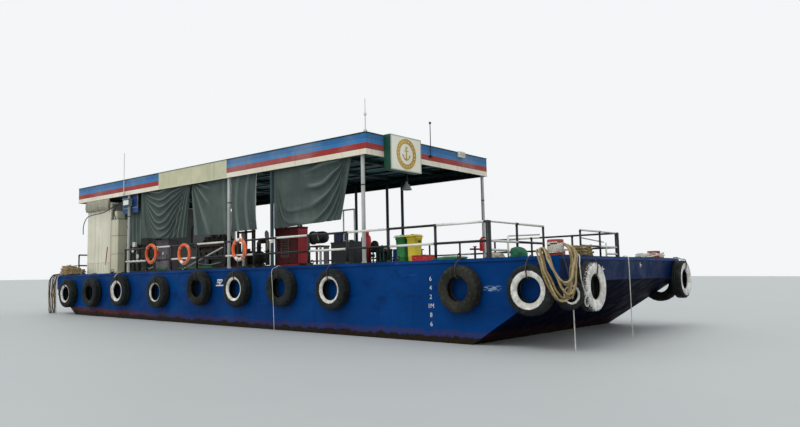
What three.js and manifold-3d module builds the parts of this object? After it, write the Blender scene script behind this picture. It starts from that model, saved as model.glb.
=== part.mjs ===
// A flat-topped service barge: double-raked steel hull, deckhouse aft, open canopy with a striped fascia.
// Millimetres. +X is the bow, +Y is port, +Z is up. The origin is under the middle of the flat bottom.
import * as THREE from "three";
import { mergeVertices } from "three/addons/utils/BufferGeometryUtils.js";
import Module from "manifold-3d";

const wasm = await Module();
wasm.setup();

// Driving dimensions
const seat = 0.3; // gap between two pieces that rest on each other
const half = { length: 10535, beam: 3650 };
const deckZ = 2060;
const headlogZ = 1540; // where the vertical end plate meets the rake
const bottomHalf = 8090; // half length of the flat bottom
const stand = deckZ + seat; // level of what stands on the deck

const canopy = {
  aft: -10440, fore: 4900, side: 2930, panel: 40, // outer faces and thickness of the fascia
  low: 4896, high: 5485, beamZ: 5050, beamTall: 120, trussTall: 120, sheet: 30,
};
const post = { radius: 50, row: 2835 };
const cabin = { aft: -9760, fore: -8030, side: 2880, wall: 60, high: 4700 };
const door = { y: -900, wide: 760, high: 1900, sill: 120, thick: 40 };
const rail = {
  y: 3530, fore: 8875, aft: -5800, top: 2845, mid: 2430, radius: 28, post: 32, corner: 60,
  gate: 1040, bowPost: 2310, // at the bow: half the open gap, and the post between it and the corner
  stern: -10380, sternHalf: 2900,
};
const tyre = { radius: 510, hole: 262, wide: 270 };
const smallTyre = { radius: 300, hole: 160, wide: 170 };

// Geometry helpers
const solid = (geometry) => {
  const bare = geometry.clone();
  bare.deleteAttribute("normal");
  bare.deleteAttribute("uv");
  const merged = mergeVertices(bare, 1e-3);
  return new wasm.Manifold(new wasm.Mesh({
    numProp: 3,
    vertProperties: new Float32Array(merged.attributes.position.array),
    triVerts: new Uint32Array(merged.index.array),
  }));
};

const join = (geometries) => geometries.map(solid).reduce((whole, next) => whole.add(next));

const toGeometry = (manifold) => {
  const mesh = manifold.getMesh();
  const geometry = new THREE.BufferGeometry();
  geometry.setAttribute("position", new THREE.BufferAttribute(new Float32Array(mesh.vertProperties), 3));
  geometry.setIndex(new THREE.BufferAttribute(new Uint32Array(mesh.triVerts), 1));
  geometry.computeVertexNormals();
  return geometry;
};

const block = (x0, x1, y0, y1, z0, z1) => new THREE.BoxGeometry(x1 - x0, y1 - y0, z1 - z0)
  .translate((x0 + x1) / 2, (y0 + y1) / 2, (z0 + z1) / 2);

// a round bar between two points
const bar = (from, to, radius, sides = 8) => {
  const a = new THREE.Vector3(...from);
  const b = new THREE.Vector3(...to);
  const turn = new THREE.Quaternion().setFromUnitVectors(new THREE.Vector3(0, 1, 0), b.clone().sub(a).normalize());
  return new THREE.CylinderGeometry(radius, radius, a.distanceTo(b), sides)
    .applyQuaternion(turn)
    .translate(...a.add(b).multiplyScalar(0.5).toArray());
};

const outline = (points) => new THREE.Shape(points.map(([u, v]) => new THREE.Vector2(u, v)));

// an outline of (x, z) points carried from y0 to y1
const sideOutline = (points, y0, y1) => new THREE.ExtrudeGeometry(outline(points), {
  depth: y1 - y0, bevelEnabled: false,
}).rotateX(Math.PI / 2).translate(0, y1, 0);

// a ring whose section is a list of (radius, along) points, turned about an axis through a centre
const ring = (section, centre, axis, sides) => new THREE.LatheGeometry(
  [...section, section[0]].map(([r, h]) => new THREE.Vector2(r, h)), sides,
)
  .applyQuaternion(new THREE.Quaternion().setFromUnitVectors(
    new THREE.Vector3(0, 1, 0), new THREE.Vector3(...axis).normalize(),
  ))
  .translate(...centre);

// a round cord through a list of points
const cordAlong = (points, radius, steps, sides = 8) => {
  const section = new THREE.Shape();
  section.absarc(0, 0, radius, 0, 2 * Math.PI, false);
  return new THREE.ExtrudeGeometry(section, {
    steps,
    curveSegments: sides / 2,
    extrudePath: new THREE.CatmullRomCurve3(points.map((p) => new THREE.Vector3(...p))),
  });
};

// Colours, roughness and metalness by finish
const finishes = {
  hull_blue: [0x123f86, 0.55, 0.1],
  tyre_rubber: [0x23211f, 0.9, 0],
  black_steel: [0x17181a, 0.6, 0.2],
  cream_steel: [0xd6d2bf, 0.6, 0.1],
  grey_steel: [0xb8bbb6, 0.5, 0.3],
  fascia_paint: [0xe9e4d2, 0.45, 0.1],
  roof_steel: [0x4d5650, 0.7, 0.3],
  sign_cream: [0xebe6d0, 0.4, 0],
  tarpaulin: [0x46544f, 0.8, 0],
  buoy_orange: [0xe0662c, 0.5, 0],
  bollard_red: [0xa83a24, 0.6, 0.1],
  bin_green: [0x2f7a3c, 0.5, 0],
  bin_yellow: [0xd6c23c, 0.5, 0],
  machine_red: [0x9c1a20, 0.5, 0.1],
  machine_grey: [0x4a4643, 0.6, 0.4],
  board_blue: [0x1c3f6e, 0.5, 0],
  rope_brown: [0xa89468, 0.95, 0],
  rope_white: [0xdedcd4, 0.9, 0],
  lamp_shell: [0xcfd6cf, 0.4, 0.3],
};
const materials = Object.fromEntries(Object.entries(finishes).map(([name, [color, roughness, metalness]]) => [
  name, new THREE.MeshStandardMaterial({ name, color, roughness, metalness }),
]));

const barge = new THREE.Group();
barge.name = "service_barge";
const add = (name, shape, finish) => {
  const geometry = shape instanceof THREE.BufferGeometry ? shape : toGeometry(shape);
  const mesh = new THREE.Mesh(geometry, materials[finish]);
  mesh.name = name;
  barge.add(mesh);
  return mesh;
};

// Hull: decked box with a raked bow and stern, twin skegs and one hatch well
const hatch = { x: 4750, y: -1100, clear: 560, wall: 12, high: 380, well: 500, flange: 45 };
const skeg = { y: 1900, thick: 60, low: 120, aft: -10250, sink: 40 };
{
  const profile = [
    [-bottomHalf, 0], [bottomHalf, 0], [half.length, headlogZ], [half.length, deckZ],
    [-half.length, deckZ], [-half.length, headlogZ],
  ];
  const rakeSlope = headlogZ / (half.length - bottomHalf);
  const onRake = (z) => -bottomHalf - z / rakeSlope;
  const rakeHeight = (x) => (-bottomHalf - x) * rakeSlope;
  const skegOutline = [
    [onRake(skeg.low), skeg.low], [skeg.aft, skeg.low],
    [skeg.aft, rakeHeight(skeg.aft) + skeg.sink], [onRake(skeg.low), skeg.low + skeg.sink],
  ];
  const clear = hatch.clear / 2;
  const well = block(
    hatch.x - clear, hatch.x + clear, hatch.y - clear, hatch.y + clear, deckZ - hatch.well, deckZ + 10,
  );
  let body = solid(sideOutline(profile, -half.beam, half.beam));
  for (const side of [-1, 1]) {
    body = body.add(solid(sideOutline(
      skegOutline, side * skeg.y - skeg.thick / 2, side * skeg.y + skeg.thick / 2,
    )));
  }
  add("hull", body.subtract(solid(well)), "hull_blue");
}

// Hatch: coaming on the deck and a lid hinged at its aft edge
const lid = { thick: 25, over: 30, pin: 7.5, bore: 8, back: 24 };
{
  const { x, y } = hatch;
  const inner = hatch.clear / 2;
  const outer = inner + hatch.wall;
  const foot = outer + hatch.flange;
  const top = deckZ + hatch.high;
  const rim = outer + lid.over;
  const aft = x - rim; // aft edge of the lid
  const hinge = { x: aft - lid.back, z: top + lid.thick / 2, bracket: 180, ear: 140, reach: 210 };
  const coaming = join([
    block(x - outer, x + outer, y - outer, y + outer, stand, top),
    block(x - foot, x + foot, y - foot, y + foot, stand, stand + 12),
    ...[-hinge.bracket, hinge.bracket].map((dy) => (
      block(hinge.x - 16, x - outer + 2, y + dy - 12, y + dy + 12, top - 120, hinge.z + 16)
    )),
  ]).subtract(solid(block(x - inner, x + inner, y - inner, y + inner, deckZ - 50, top + 50)));
  const pinHole = solid(bar([hinge.x, y - 260, hinge.z], [hinge.x, y + 260, hinge.z], lid.bore, 12));
  add("hatch_coaming", coaming.subtract(pinHole), "hull_blue");
  const handle = { x: x + 180, half: 60, radius: 8, z: top + lid.thick + 35 };
  const cover = join([
    block(aft + 12, x + rim, y - rim, y + rim, top + seat, top + lid.thick),
    ...[-hinge.ear, hinge.ear].map((dy) => (
      block(hinge.x - 12, x - outer - 10, y + dy - 14, y + dy + 14, hinge.z - 10, hinge.z + 10)
    )),
    bar([hinge.x, y - hinge.reach, hinge.z], [hinge.x, y + hinge.reach, hinge.z], lid.pin, 12),
    bar([handle.x, y - handle.half, handle.z], [handle.x, y + handle.half, handle.z], handle.radius),
    ...[-handle.half, handle.half].map((dy) => (
      bar([handle.x, y + dy, top + 10], [handle.x, y + dy, handle.z], handle.radius)
    )),
  ]);
  const slots = join([-hinge.bracket, hinge.bracket].map((dy) => (
    block(aft, x - outer + 8, y + dy - 20, y + dy + 20, top - 20, top + 80)
  )));
  add("hatch_lid", cover.subtract(slots), "hull_blue");
}

// Fenders: tyres hung from a rubbing bar, joined by two straps each
const bumper = { low: 1975, high: 2045, deep: 50, reach: 10300 };
const tyreSection = ({ radius, hole, wide }) => [
  [hole, -wide * 0.3], [radius * 0.72, -wide / 2], [radius, -wide * 0.36],
  [radius, wide * 0.36], [radius * 0.72, wide / 2], [hole, wide * 0.3],
];
const tyreSides = 14;
// along the side: distance from midships, height of the middle
const sideTyres = [
  { x: -9360, z: 1360 }, { x: -7580, z: 1390 }, { x: -5660, z: 1445 }, { x: -3330, z: 1395 }, { x: -1120, z: 1505 },
  { x: 690, z: 1470 }, { x: 2560, z: 1495 }, { x: 4460, z: 1425 }, { x: 8270, z: 1415 }, { x: 9970, z: 1385 },
];
const bowTyres = [{ y: -2500, z: 1415 }, { y: 3400, z: 1485 }];
const sternTyres = [{ y: -3000, z: 1390 }, { y: 2900, z: 1390 }];
const strap = { apart: 150, half: 18, deep: 40, down: 410 };

for (const [name, side] of [["fenders_starboard", -1], ["fenders_port", 1]]) {
  const face = half.beam + seat;
  const across = (near, far) => (side < 0 ? [-far, -near] : [near, far]);
  add(name, join([
    block(-bumper.reach, bumper.reach, ...across(face, face + bumper.deep), bumper.low, bumper.high),
    ...sideTyres.flatMap(({ x, z }) => [
      ring(tyreSection(tyre), [x, side * (face + tyre.wide / 2), z], [0, 1, 0], tyreSides),
      ...[-strap.apart, strap.apart].map((dx) => block(
        x + dx - strap.half, x + dx + strap.half, ...across(face + 6, face + strap.deep),
        z + strap.down, bumper.high - 5,
      )),
    ]),
  ]), "tyre_rubber");
}

for (const [name, end, places] of [["fenders_bow", 1, bowTyres], ["fenders_stern", -1, sternTyres]]) {
  const face = half.length + seat;
  const along = (near, far) => (end < 0 ? [-far, -near] : [near, far]);
  const pieces = [
    block(...along(face, face + bumper.deep), -half.beam, half.beam, bumper.low, bumper.high),
    ...places.flatMap(({ y, z }) => [
      ring(tyreSection(tyre), [end * (face + tyre.wide / 2), y, z], [1, 0, 0], tyreSides),
      ...[-strap.apart, strap.apart].map((dy) => block(
        ...along(face + 6, face + strap.deep), y + dy - strap.half, y + dy + strap.half,
        z + strap.down, bumper.high - 5,
      )),
    ]),
  ];
  if (end > 0) {
    // a smaller tyre hangs round the starboard bow corner, turned 30 degrees from the bow
    const [turn, out, shift, z] = [Math.PI / 6, 100, 140, 1290];
    pieces.push(...[
      ring(tyreSection(smallTyre), [out, shift, z], [1, 0, 0], tyreSides),
      block(10, out, 50, 110, z + smallTyre.radius - 90, bumper.high - 5),
    ].map((piece) => piece.rotateZ(-turn).translate(half.length, -half.beam, 0)));
  }
  add(name, join(pieces), "tyre_rubber");
}

// Mooring bollards near the four corners; the one on the port bow is lower and stands further in
const bollard = { x: 10290, y: 3280, radius: 135, cap: 165, high: 330, plate: 430 };
for (const [name, x, y, high] of [
  ["bollard_bow_starboard", bollard.x, -bollard.y, bollard.high], ["bollard_bow_port", bollard.x, 2440, 190],
  ["bollard_stern_starboard", -bollard.x, -bollard.y, bollard.high],
  ["bollard_stern_port", -bollard.x, bollard.y, bollard.high],
]) {
  const plate = bollard.plate / 2;
  const top = deckZ + high;
  add(name, join([
    block(x - plate, x + plate, y - plate, y + plate, stand, stand + 16),
    bar([x, y, stand + 8], [x, y, top - 40], bollard.radius, 16),
    bar([x, y, top - 70], [x, y, top], bollard.cap, 16),
  ]), "bollard_red");
}

// Deckhouse: four walls, a roof and a hinged door
{
  const { aft, fore, side, wall, high } = cabin;
  const window = { low: 3150, high: 3950, port: [-9300, -8500], fore: [700, 2100] };
  add("cabin_wall_starboard", block(aft, fore, -side, -side + wall, stand, high), "cream_steel");
  add("cabin_wall_port", solid(block(aft, fore, side - wall, side, stand, high)).subtract(solid(
    block(...window.port, side - wall - 10, side + 10, window.low, window.high),
  )), "cream_steel");
  const inside = side - wall - seat;
  add("cabin_wall_aft", block(aft, aft + wall, -inside, inside, stand, high), "cream_steel");
  const doorLow = deckZ + door.sill;
  const doorTop = doorLow + door.high;
  const leaf = [door.y - door.wide / 2, door.y + door.wide / 2];
  const back = fore + 6;
  const hinge = {
    x: back + door.thick + 10, y: leaf[0] - 20, radius: 14, pin: 7.5, bore: 8, levels: [400, 1500], half: 38,
  };
  const handleZ = 3090;
  const levels = hinge.levels.map((dz) => doorLow + dz);
  const knuckle = (toX, z0, z1) => [
    bar([hinge.x, hinge.y, z0], [hinge.x, hinge.y, z1], hinge.radius, 16),
    block(toX, hinge.x, hinge.y - 10, hinge.y + 10, z0, z1),
  ];
  const lugs = levels.flatMap((level) => [level - 70, level + 70].flatMap((z) => (
    knuckle(fore - 5, z - 25, z + 25)
  )));
  const pinHole = join(levels.map((z) => (
    bar([hinge.x, hinge.y, z - 120], [hinge.x, hinge.y, z + 120], hinge.bore, 16)
  )));
  add("cabin_wall_fore", join([
    block(fore - wall, fore, -inside, inside, stand, high), ...lugs,
  ]).subtract(solid(
    block(fore - wall - 10, fore + 1, leaf[0] + 20, leaf[1] - 20, doorLow, doorTop - 20),
  )).subtract(solid(
    block(fore - wall - 10, fore + 10, ...window.fore, window.low, window.high),
  )).subtract(pinHole), "cream_steel");
  add("cabin_door", join([
    block(back, back + door.thick, leaf[0], leaf[1], doorLow - 20, doorTop),
    ...levels.flatMap((z) => [
      bar([hinge.x, hinge.y, z - hinge.half], [hinge.x, hinge.y, z + hinge.half], hinge.radius, 16),
      block(hinge.x - 10, hinge.x + 10, hinge.y, leaf[0] + 10, z - hinge.half, z + hinge.half),
      block(back + door.thick - 5, hinge.x + 10, leaf[0] + 1, leaf[0] + 60, z - hinge.half, z + hinge.half),
      bar([hinge.x, hinge.y, z - 90], [hinge.x, hinge.y, z + 90], hinge.pin, 16),
    ]),
    block(fore + 40, fore + 90, leaf[1] - 110, leaf[1] - 80, handleZ - 10, handleZ + 10),
    block(fore + 78, fore + 92, leaf[1] - 210, leaf[1] - 80, handleZ - 12, handleZ + 12),
  ]), "cream_steel");
  add("cabin_roof", block(aft - 20, fore + 20, -side, side, high + seat, high + 40), "cream_steel");
}

// Three-tier locker against the deckhouse
const locker = {
  aft: cabin.fore + seat, fore: -7540, out: -2850, in: -2430, top: 4100, plinth: 60, joints: [2790, 3470],
};
{
  const { aft: x0, fore: x1, out: y0, in: y1, top, plinth } = locker;
  const duct = { long: 250, high: 300 };
  const shell = join([
    block(x0, x1, y0, y1, stand + plinth, top),
    block(x0 + 30, x1 - 30, y0 + 30, y1 - 30, stand, stand + plinth + 10),
    block(x0 + 60, x0 + 60 + duct.long, y0 + 60, y1 - 60, top - 10, top + duct.high),
  ]);
  const grooves = join(locker.joints.map((z) => block(x0 + 12, x1 + 10, y0 - 10, y1 + 10, z - 12, z + 12)));
  const core = solid(block(x0 - 1, x1 - 10, y0 + 10, y1 - 10, stand + plinth, top));
  add("deck_locker", shell.subtract(grooves).add(core.intersect(shell)), "cream_steel");
}

// Canopy: a side frame of posts under a beam on each side
const postsStarboard = [-6800, -930, 1090, 4690];
const postsPort = [-6800, -3790, -780, 740, 1430, 4770];
for (const [name, side, places] of [
  ["canopy_frame_starboard", -1, postsStarboard], ["canopy_frame_port", 1, postsPort],
]) {
  const outer = canopy.side - canopy.panel - seat;
  const inner = outer - 100;
  const across = side < 0 ? [-outer, -inner] : [inner, outer];
  const y = side * post.row;
  add(name, join([
    block(canopy.aft + 60, canopy.fore - 60, ...across, canopy.beamZ, canopy.beamZ + canopy.beamTall),
    ...places.flatMap((x) => [
      bar([x, y, stand + 5], [x, y, canopy.beamZ + 20], post.radius, 12),
      block(x - 100, x + 100, y - 100, y + 100, stand, stand + 12),
    ]),
  ]), "grey_steel");
}

// Roof: cross beams and purlins under a sheet
{
  const low = canopy.beamZ + canopy.beamTall + seat;
  const high = low + canopy.trussTall;
  const reach = canopy.side - canopy.panel - 10;
  const [aft, fore] = [canopy.aft + canopy.panel + 30, canopy.fore - canopy.panel - 30];
  const bays = 8;
  const beams = Array.from({ length: bays + 1 }, (_, i) => {
    const x = aft + 40 + (i * (fore - aft - 80)) / bays;
    return block(x - 40, x + 40, -reach, reach, low, high);
  });
  const purlins = [-1500, 0, 1500].map((y) => block(aft, fore, y - 30, y + 30, low + 30, high - 10));
  add("roof_frame", join([...beams, ...purlins]), "roof_steel");
  const ends = [canopy.aft + canopy.panel + 10, canopy.fore - canopy.panel - 10];
  add("roof_sheet", block(...ends, -reach, reach, high + seat, high + seat + canopy.sheet), "roof_steel");
}

// Fascia: four panels round the roof
{
  const { aft, fore, side, panel, low, high } = canopy;
  const inside = side - panel - seat;
  for (const [name, ...ends] of [
    ["fascia_starboard", aft, fore, -side, -side + panel],
    ["fascia_port", aft, fore, side - panel, side],
    ["fascia_bow", fore - panel, fore, -inside, inside],
    ["fascia_stern", aft, aft + panel, -inside, inside],
  ]) {
    add(name, block(...ends, low, high), "fascia_paint");
  }
}

// Sign box on the fore fascia, with a raised ring on its face
const sign = { y0: -2220, y1: -900, low: 4550, high: 5500, deep: 245 };
{
  const back = canopy.fore + seat;
  const face = back + sign.deep;
  const centre = [face, (sign.y0 + sign.y1) / 2, (sign.low + sign.high) / 2];
  add("sign_box", join([
    block(back, face, sign.y0, sign.y1, sign.low, sign.high),
    ring([[300, -10], [430, -10], [430, 12], [300, 12]], centre, [1, 0, 0], 32),
  ]), "sign_cream");
}

// Tarpaulins between the posts, hung under the starboard beam
const cloth = { y: -2812, thick: 24, top: canopy.beamZ - seat };
for (const [name, points] of [
  ["tarp_aft", [[-6020, 3290], [-4500, 3200], [-3010, 3170], [-3010, cloth.top], [-6020, cloth.top]]],
  ["tarp_middle", [[-2950, 3200], [-990, 3150], [-990, cloth.top], [-2950, cloth.top]]],
  ["tarp_short", [[-860, 3220], [370, 3220], [370, cloth.top], [-860, cloth.top]]],
  ["tarp_fore", [[1160, 3190], [3850, 3270], [3950, 3650], [4290, cloth.top], [1160, cloth.top]]],
]) {
  add(name, sideOutline(points, cloth.y - cloth.thick / 2, cloth.y + cloth.thick / 2), "tarpaulin");
}
const inner = { aft: -7150, fore: -6380, y: -2598, low: 3060 };
add("tarp_inner", block(
  inner.aft, inner.fore, inner.y - cloth.thick / 2, inner.y + cloth.thick / 2,
  inner.low, canopy.beamZ + canopy.beamTall,
), "tarpaulin");
const bundle = { out: -3000, low: 4460 }; // a sheet rolled up along the deckhouse
add("tarp_bundle", block(
  cabin.aft, cabin.fore - 20, bundle.out, -cabin.side - seat, bundle.low, canopy.low - seat,
), "tarpaulin");
const board = { aft: -7350, fore: -6300, back: -2760, low: 4420, high: 5000 };
add("notice_board", block(
  board.aft, board.fore, -post.row + post.radius + seat, board.back, board.low, board.high,
), "board_blue");

// Guard rails: side run and half of the bow run in one welded piece
const stanchions = [-5770, -4420, -2990, -1600, -190, 1140, 2070, 3360, 4750, 6100, 7480];
for (const [name, side] of [["rail_starboard", -1], ["rail_port", 1]]) {
  const y = side * rail.y;
  const end = side * rail.gate;
  add(name, join([
    ...[rail.top, rail.mid].flatMap((z) => [
      bar([rail.aft, y, z], [rail.fore, y, z], rail.radius),
      bar([rail.fore, y, z], [rail.fore, end, z], rail.radius),
    ]),
    ...stanchions.map((x) => bar([x, y, stand], [x, y, rail.top], rail.post)),
    bar([rail.fore, y, stand], [rail.fore, y, rail.top + 20], rail.corner, 10),
    ...[side * rail.bowPost, end].map((where) => (
      bar([rail.fore, where, stand], [rail.fore, where, rail.top], rail.radius)
    )),
  ]), "black_steel");
}
{
  const { stern: x, sternHalf: end } = rail;
  add("rail_stern", join([
    ...[rail.top, rail.mid].map((z) => bar([x, -end, z], [x, end, z], rail.radius)),
    ...[-end, -end / 2, 0, end / 2, end].map((y) => bar([x, y, stand], [x, y, rail.top], rail.radius)),
  ]), "black_steel");
}

// Lifebuoys outside the starboard rail
const buoy = { radius: 282, tube: 50, sides: 8 };
for (const [name, x, z] of [
  ["lifebuoy_aft", -4040, 2650], ["lifebuoy_middle", -2165, 2570], ["lifebuoy_fore", 560, 2590],
]) {
  const y = -(rail.y + rail.radius + buoy.tube * Math.cos(Math.PI / buoy.sides) + seat);
  const section = Array.from({ length: buoy.sides }, (_, i) => {
    const a = ((2 * i + 1) * Math.PI) / buoy.sides;
    return [buoy.radius + buoy.tube * Math.cos(a), buoy.tube * Math.sin(a)];
  });
  add(name, join([ring(section, [x, y, z], [0, 1, 0], 20)]), "buoy_orange");
}

// Waste bins with hinged lids
const bin = { wide: 300, mouth: 324, high: 660, wall: 12, y: -2150, collar: 172, pin: 6, bore: 6.5 };
for (const [name, x, finish] of [["bin_green", 5430, "bin_green"], ["bin_yellow", 5800, "bin_yellow"]]) {
  const low = stand;
  const high = low + bin.high;
  const tub = (grow, z0, z1) => new THREE.CylinderGeometry(
    (bin.mouth / 2 + grow) * Math.SQRT2, (bin.wide / 2 + grow) * Math.SQRT2, z1 - z0, 4,
  ).rotateY(Math.PI / 4).rotateX(Math.PI / 2).translate(x, bin.y, (z0 + z1) / 2);
  const back = bin.y + bin.mouth / 2; // the hinged side
  const hinge = { y: back + 22, z: high - 16 };
  const lugs = [-90, 90].map((dx) => (
    block(x + dx - 12, x + dx + 12, back - 12, hinge.y + 12, hinge.z - 40, hinge.z + 12)
  ));
  const body = join([
    tub(0, low, high),
    block(x - bin.collar, x + bin.collar, bin.y - bin.collar, back, high - 30, high),
    ...lugs,
  ])
    .subtract(solid(tub(-bin.wall, low + bin.wall, high + 20)))
    .subtract(solid(bar([x - 130, hinge.y, hinge.z], [x + 130, hinge.y, hinge.z], bin.bore, 12)));
  add(name, body, finish);
  add(`${name}_lid`, join([
    block(x - bin.collar, x + bin.collar, bin.y - 185, back + 4, high + seat, high + 22),
    block(x - 150, x + 150, bin.y - 160, bin.y + 140, high + 20, high + 52),
    block(x - 70, x + 70, back - 10, hinge.y + 9, high + 4, high + 20),
    block(x - 70, x + 70, hinge.y - 9, hinge.y + 9, hinge.z - 8, high + 10),
    bar([x - 110, hinge.y, hinge.z], [x + 110, hinge.y, hinge.z], bin.pin, 12),
  ]), finish);
}

// Machinery under the canopy
const generator = { aft: -180, fore: 780, out: -1600, in: -1150, base: 100, top: 3340 };
const exhaust = { x: 560, y: -1300, top: 3560, radius: 45 };
add("generator", join([
  block(generator.aft, generator.fore, generator.out, generator.in, stand + generator.base, generator.top),
  block(
    generator.aft - 60, generator.fore + 60, generator.out + 30, generator.in - 30,
    stand, stand + generator.base + 10,
  ),
  bar([exhaust.x, exhaust.y, generator.top - 10], [exhaust.x, exhaust.y, exhaust.top], exhaust.radius, 12),
]), "machine_red");
// one long skid carries, from aft: pipework, the gauge cabinet, the diesel, and the pump in its post frame
const skid = { aft: -7500, split: -6100, fore: -450, out: -2480, in: -1500, beam: 100, high: 90 };
const pipework = { y: -2430, x: [-7400, -7080, -6760], top: 3160, radius: 45, cross: [2520, 2980] };
const cabinet = { aft: -5650, fore: -4850, out: -2450, in: -2000, top: 3200 };
const diesel = { aft: -3450, fore: -1920, out: -2300, in: -1570, low: 2950, top: 3250 };
const pump = { y: -1800, shaft: stand + 380, volute: stand + 340, pipe: 70, pipeTop: stand + 870 };
const frame = { x: [-1300, -900, -500], out: -2230, in: -2170, top: 3280 };
add("pump_set", join([
  block(skid.aft, skid.fore, skid.out, skid.out + skid.beam, stand, stand + skid.high),
  block(skid.split, skid.fore, skid.in - skid.beam, skid.in, stand, stand + skid.high),
  ...[skid.split, cabinet.fore + 150, diesel.aft - 50, diesel.fore - 30, skid.fore - skid.beam].map((x) => (
    block(x, x + skid.beam, skid.out, skid.in, stand, stand + skid.high)
  )),
  ...pipework.x.map((x) => (
    bar([x, pipework.y, stand + 50], [x, pipework.y, pipework.top], pipework.radius, 10)
  )),
  ...pipework.cross.map((z) => (
    bar([pipework.x[0], pipework.y + 40, z], [cabinet.aft + 50, pipework.y + 40, z], pipework.radius - 7, 10)
  )),
  block(cabinet.aft, cabinet.fore, cabinet.out, cabinet.in, stand + 80, cabinet.top),
  block(diesel.aft, diesel.fore, diesel.out, diesel.in, stand + 80, diesel.low),
  block(diesel.aft + 150, diesel.fore - 150, diesel.out + 100, diesel.in - 100, diesel.low - 10, diesel.top),
  block(-1750, skid.fore, pump.y - 350, pump.y + 350, stand, stand + 100),
  block(-1650, -1150, pump.y - 200, pump.y + 200, stand + 90, stand + 200),
  bar([-1680, pump.y, pump.shaft], [-1120, pump.y, pump.shaft], 210, 16),
  bar([-1130, pump.y, pump.shaft], [-880, pump.y, pump.shaft], 60, 12),
  bar([-900, pump.y, pump.volute], [-620, pump.y, pump.volute], 230, 16),
  block(-860, -660, pump.y - 100, pump.y + 100, stand + 90, stand + 200),
  bar([-760, pump.y, stand + 400], [-760, pump.y, stand + 900], pump.pipe, 12),
  bar([-780, pump.y, pump.pipeTop], [-300, pump.y, pump.pipeTop], pump.pipe, 12),
  bar([-340, pump.y, stand], [-340, pump.y, stand + 900], pump.pipe, 12),
  ...frame.x.map((x) => block(x - 30, x + 30, frame.out, frame.in, stand, frame.top)),
  block(frame.x[0] - 30, frame.x[2] + 30, frame.out, frame.in, frame.top - 60, frame.top),
  block(diesel.fore - 50, skid.fore - 20, frame.out - 20, frame.in + 40, stand, stand + skid.high - 20),
  bar([-1150, -2085, stand + 50], [-1150, -2085, frame.top - 10], 60, 12),
]), "machine_grey");
// motor on a stand, and a black tank with a switch box and a hose frame, on one base
const motor = { aft: 1900, fore: 2450, out: -2200, in: -1800, low: 2640, top: 3180 };
const tank = { aft: 2790, fore: 3680, out: -2150, in: -1700, top: 2720 };
const hoseFrame = { x: [3080, 3500], y: -1900, top: 3650, radius: 22 };
add("deck_box", join([
  block(motor.aft, motor.fore, motor.out, motor.in, motor.low, motor.top),
  ...[motor.aft + 30, motor.fore - 30].flatMap((x) => [motor.out + 30, motor.in - 30].map((y) => (
    block(x - 25, x + 25, y - 25, y + 25, stand, motor.low + 10)
  ))),
  ...[motor.out + 30, motor.in - 70].map((y) => (
    block(motor.aft, tank.aft + 60, y - 30, y + 30, stand, stand + 60)
  )),
  block(tank.aft, tank.fore, tank.out, tank.in, stand, tank.top),
  block(tank.aft + 40, tank.aft + 250, tank.out + 100, tank.in - 50, tank.top - 10, 2975),
  ...hoseFrame.x.map((x) => (
    bar([x, hoseFrame.y, tank.top - 10], [x, hoseFrame.y, hoseFrame.top], hoseFrame.radius, 10)
  )),
  bar([hoseFrame.x[0], hoseFrame.y, hoseFrame.top], [hoseFrame.x[1], hoseFrame.y, hoseFrame.top], hoseFrame.radius, 10),
]), "board_blue");
add("tool_case", block(6150, 6650, -2720, -2400, stand, 2240), "machine_red");
// gas bottle strapped to a low rack
const bottle = { x: 3120, y: -1000, radius: 150, high: 1020 };
const rack = { aft: 3400, fore: 3950, out: -1200, in: -800, top: 2560, strap: 2300 };
add("gas_bottle_rack", join([
  bar([bottle.x, bottle.y, stand], [bottle.x, bottle.y, stand + bottle.high], bottle.radius, 20),
  block(rack.aft, rack.fore, rack.out, rack.in, stand, rack.top),
  block(bottle.x + 120, rack.aft + 20, bottle.y - 40, bottle.y + 40, rack.strap, rack.strap + 80),
]), "machine_red");

// Lights and aerials
add("floodlight", join([
  block(-6950, -6510, -3040, -2925, 4450, 4770),
  block(-6860, -6740, -2930, -2885 - seat, 4560, 4640),
]), "lamp_shell");
const aerial = (x, y, low, high, radius) => [
  bar([x, y, low], [x, y, high], radius), block(x - 35, x + 35, y - 35, y + 35, low, low + 60),
];
add("aerial_bow", join([
  ...aerial(4850, -2890, canopy.high + seat, 6370, 14),
  bar([4850, -2890, 5930], [4850, -2890, 5990], 38, 12),
]), "grey_steel");
add("aerial_middle", join([
  ...aerial(4935 + seat, -160, 5130, 6140, 12),
  new THREE.SphereGeometry(38, 12, 8).translate(4935 + seat, -160, 6150),
]), "grey_steel");
add("aerial_aft", join(aerial(-6970, -2965 - seat, 4930, 6460, 14)), "grey_steel");

// Ropes: plain solids on their routes
const bowRope = {
  radius: 80,
  route: [
    [9990, -3420, 2140.4], [10120, -3700, 2150], [10240, -3870, 2000], [10340, -3985, 1800], [10480, -4030, 1550],
    [10620, -4030, 1300], [10750, -3970, 1180], [10840, -3850, 1240], [10860, -3720, 1480], [10830, -3510, 1800],
    [10750, -3260, 2040], [10650, -3060, 2150], [10500, -2960, 2148], [10360, -2950, 2140.4],
  ],
};
add("bow_rope_hank", cordAlong(bowRope.route, bowRope.radius, 40), "rope_brown");
add("bow_rope_turns", join([ring(
  [[bollard.radius + 2, 0], [bollard.radius + 42, 0], [bollard.radius + 42, 190], [bollard.radius + 2, 190]],
  [bollard.x, -bollard.y, stand + 22], [0, 0, 1], 24,
)]), "rope_white");
const whiteRope = {
  radius: 14,
  route: [
    [10467.4, -3280, 2180], [10500, -3280, 2180], [10550, -3280, 2172], [10590, -3280, 2140],
    [10616, -3280, 2060], [10620, -3280, 1900],
    [10620, -3280, 1400], [10620, -3270, 700], [10620, -3260, 130],
  ],
};
add("bow_rope_white", cordAlong(whiteRope.route, whiteRope.radius, 32), "rope_white");
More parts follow.
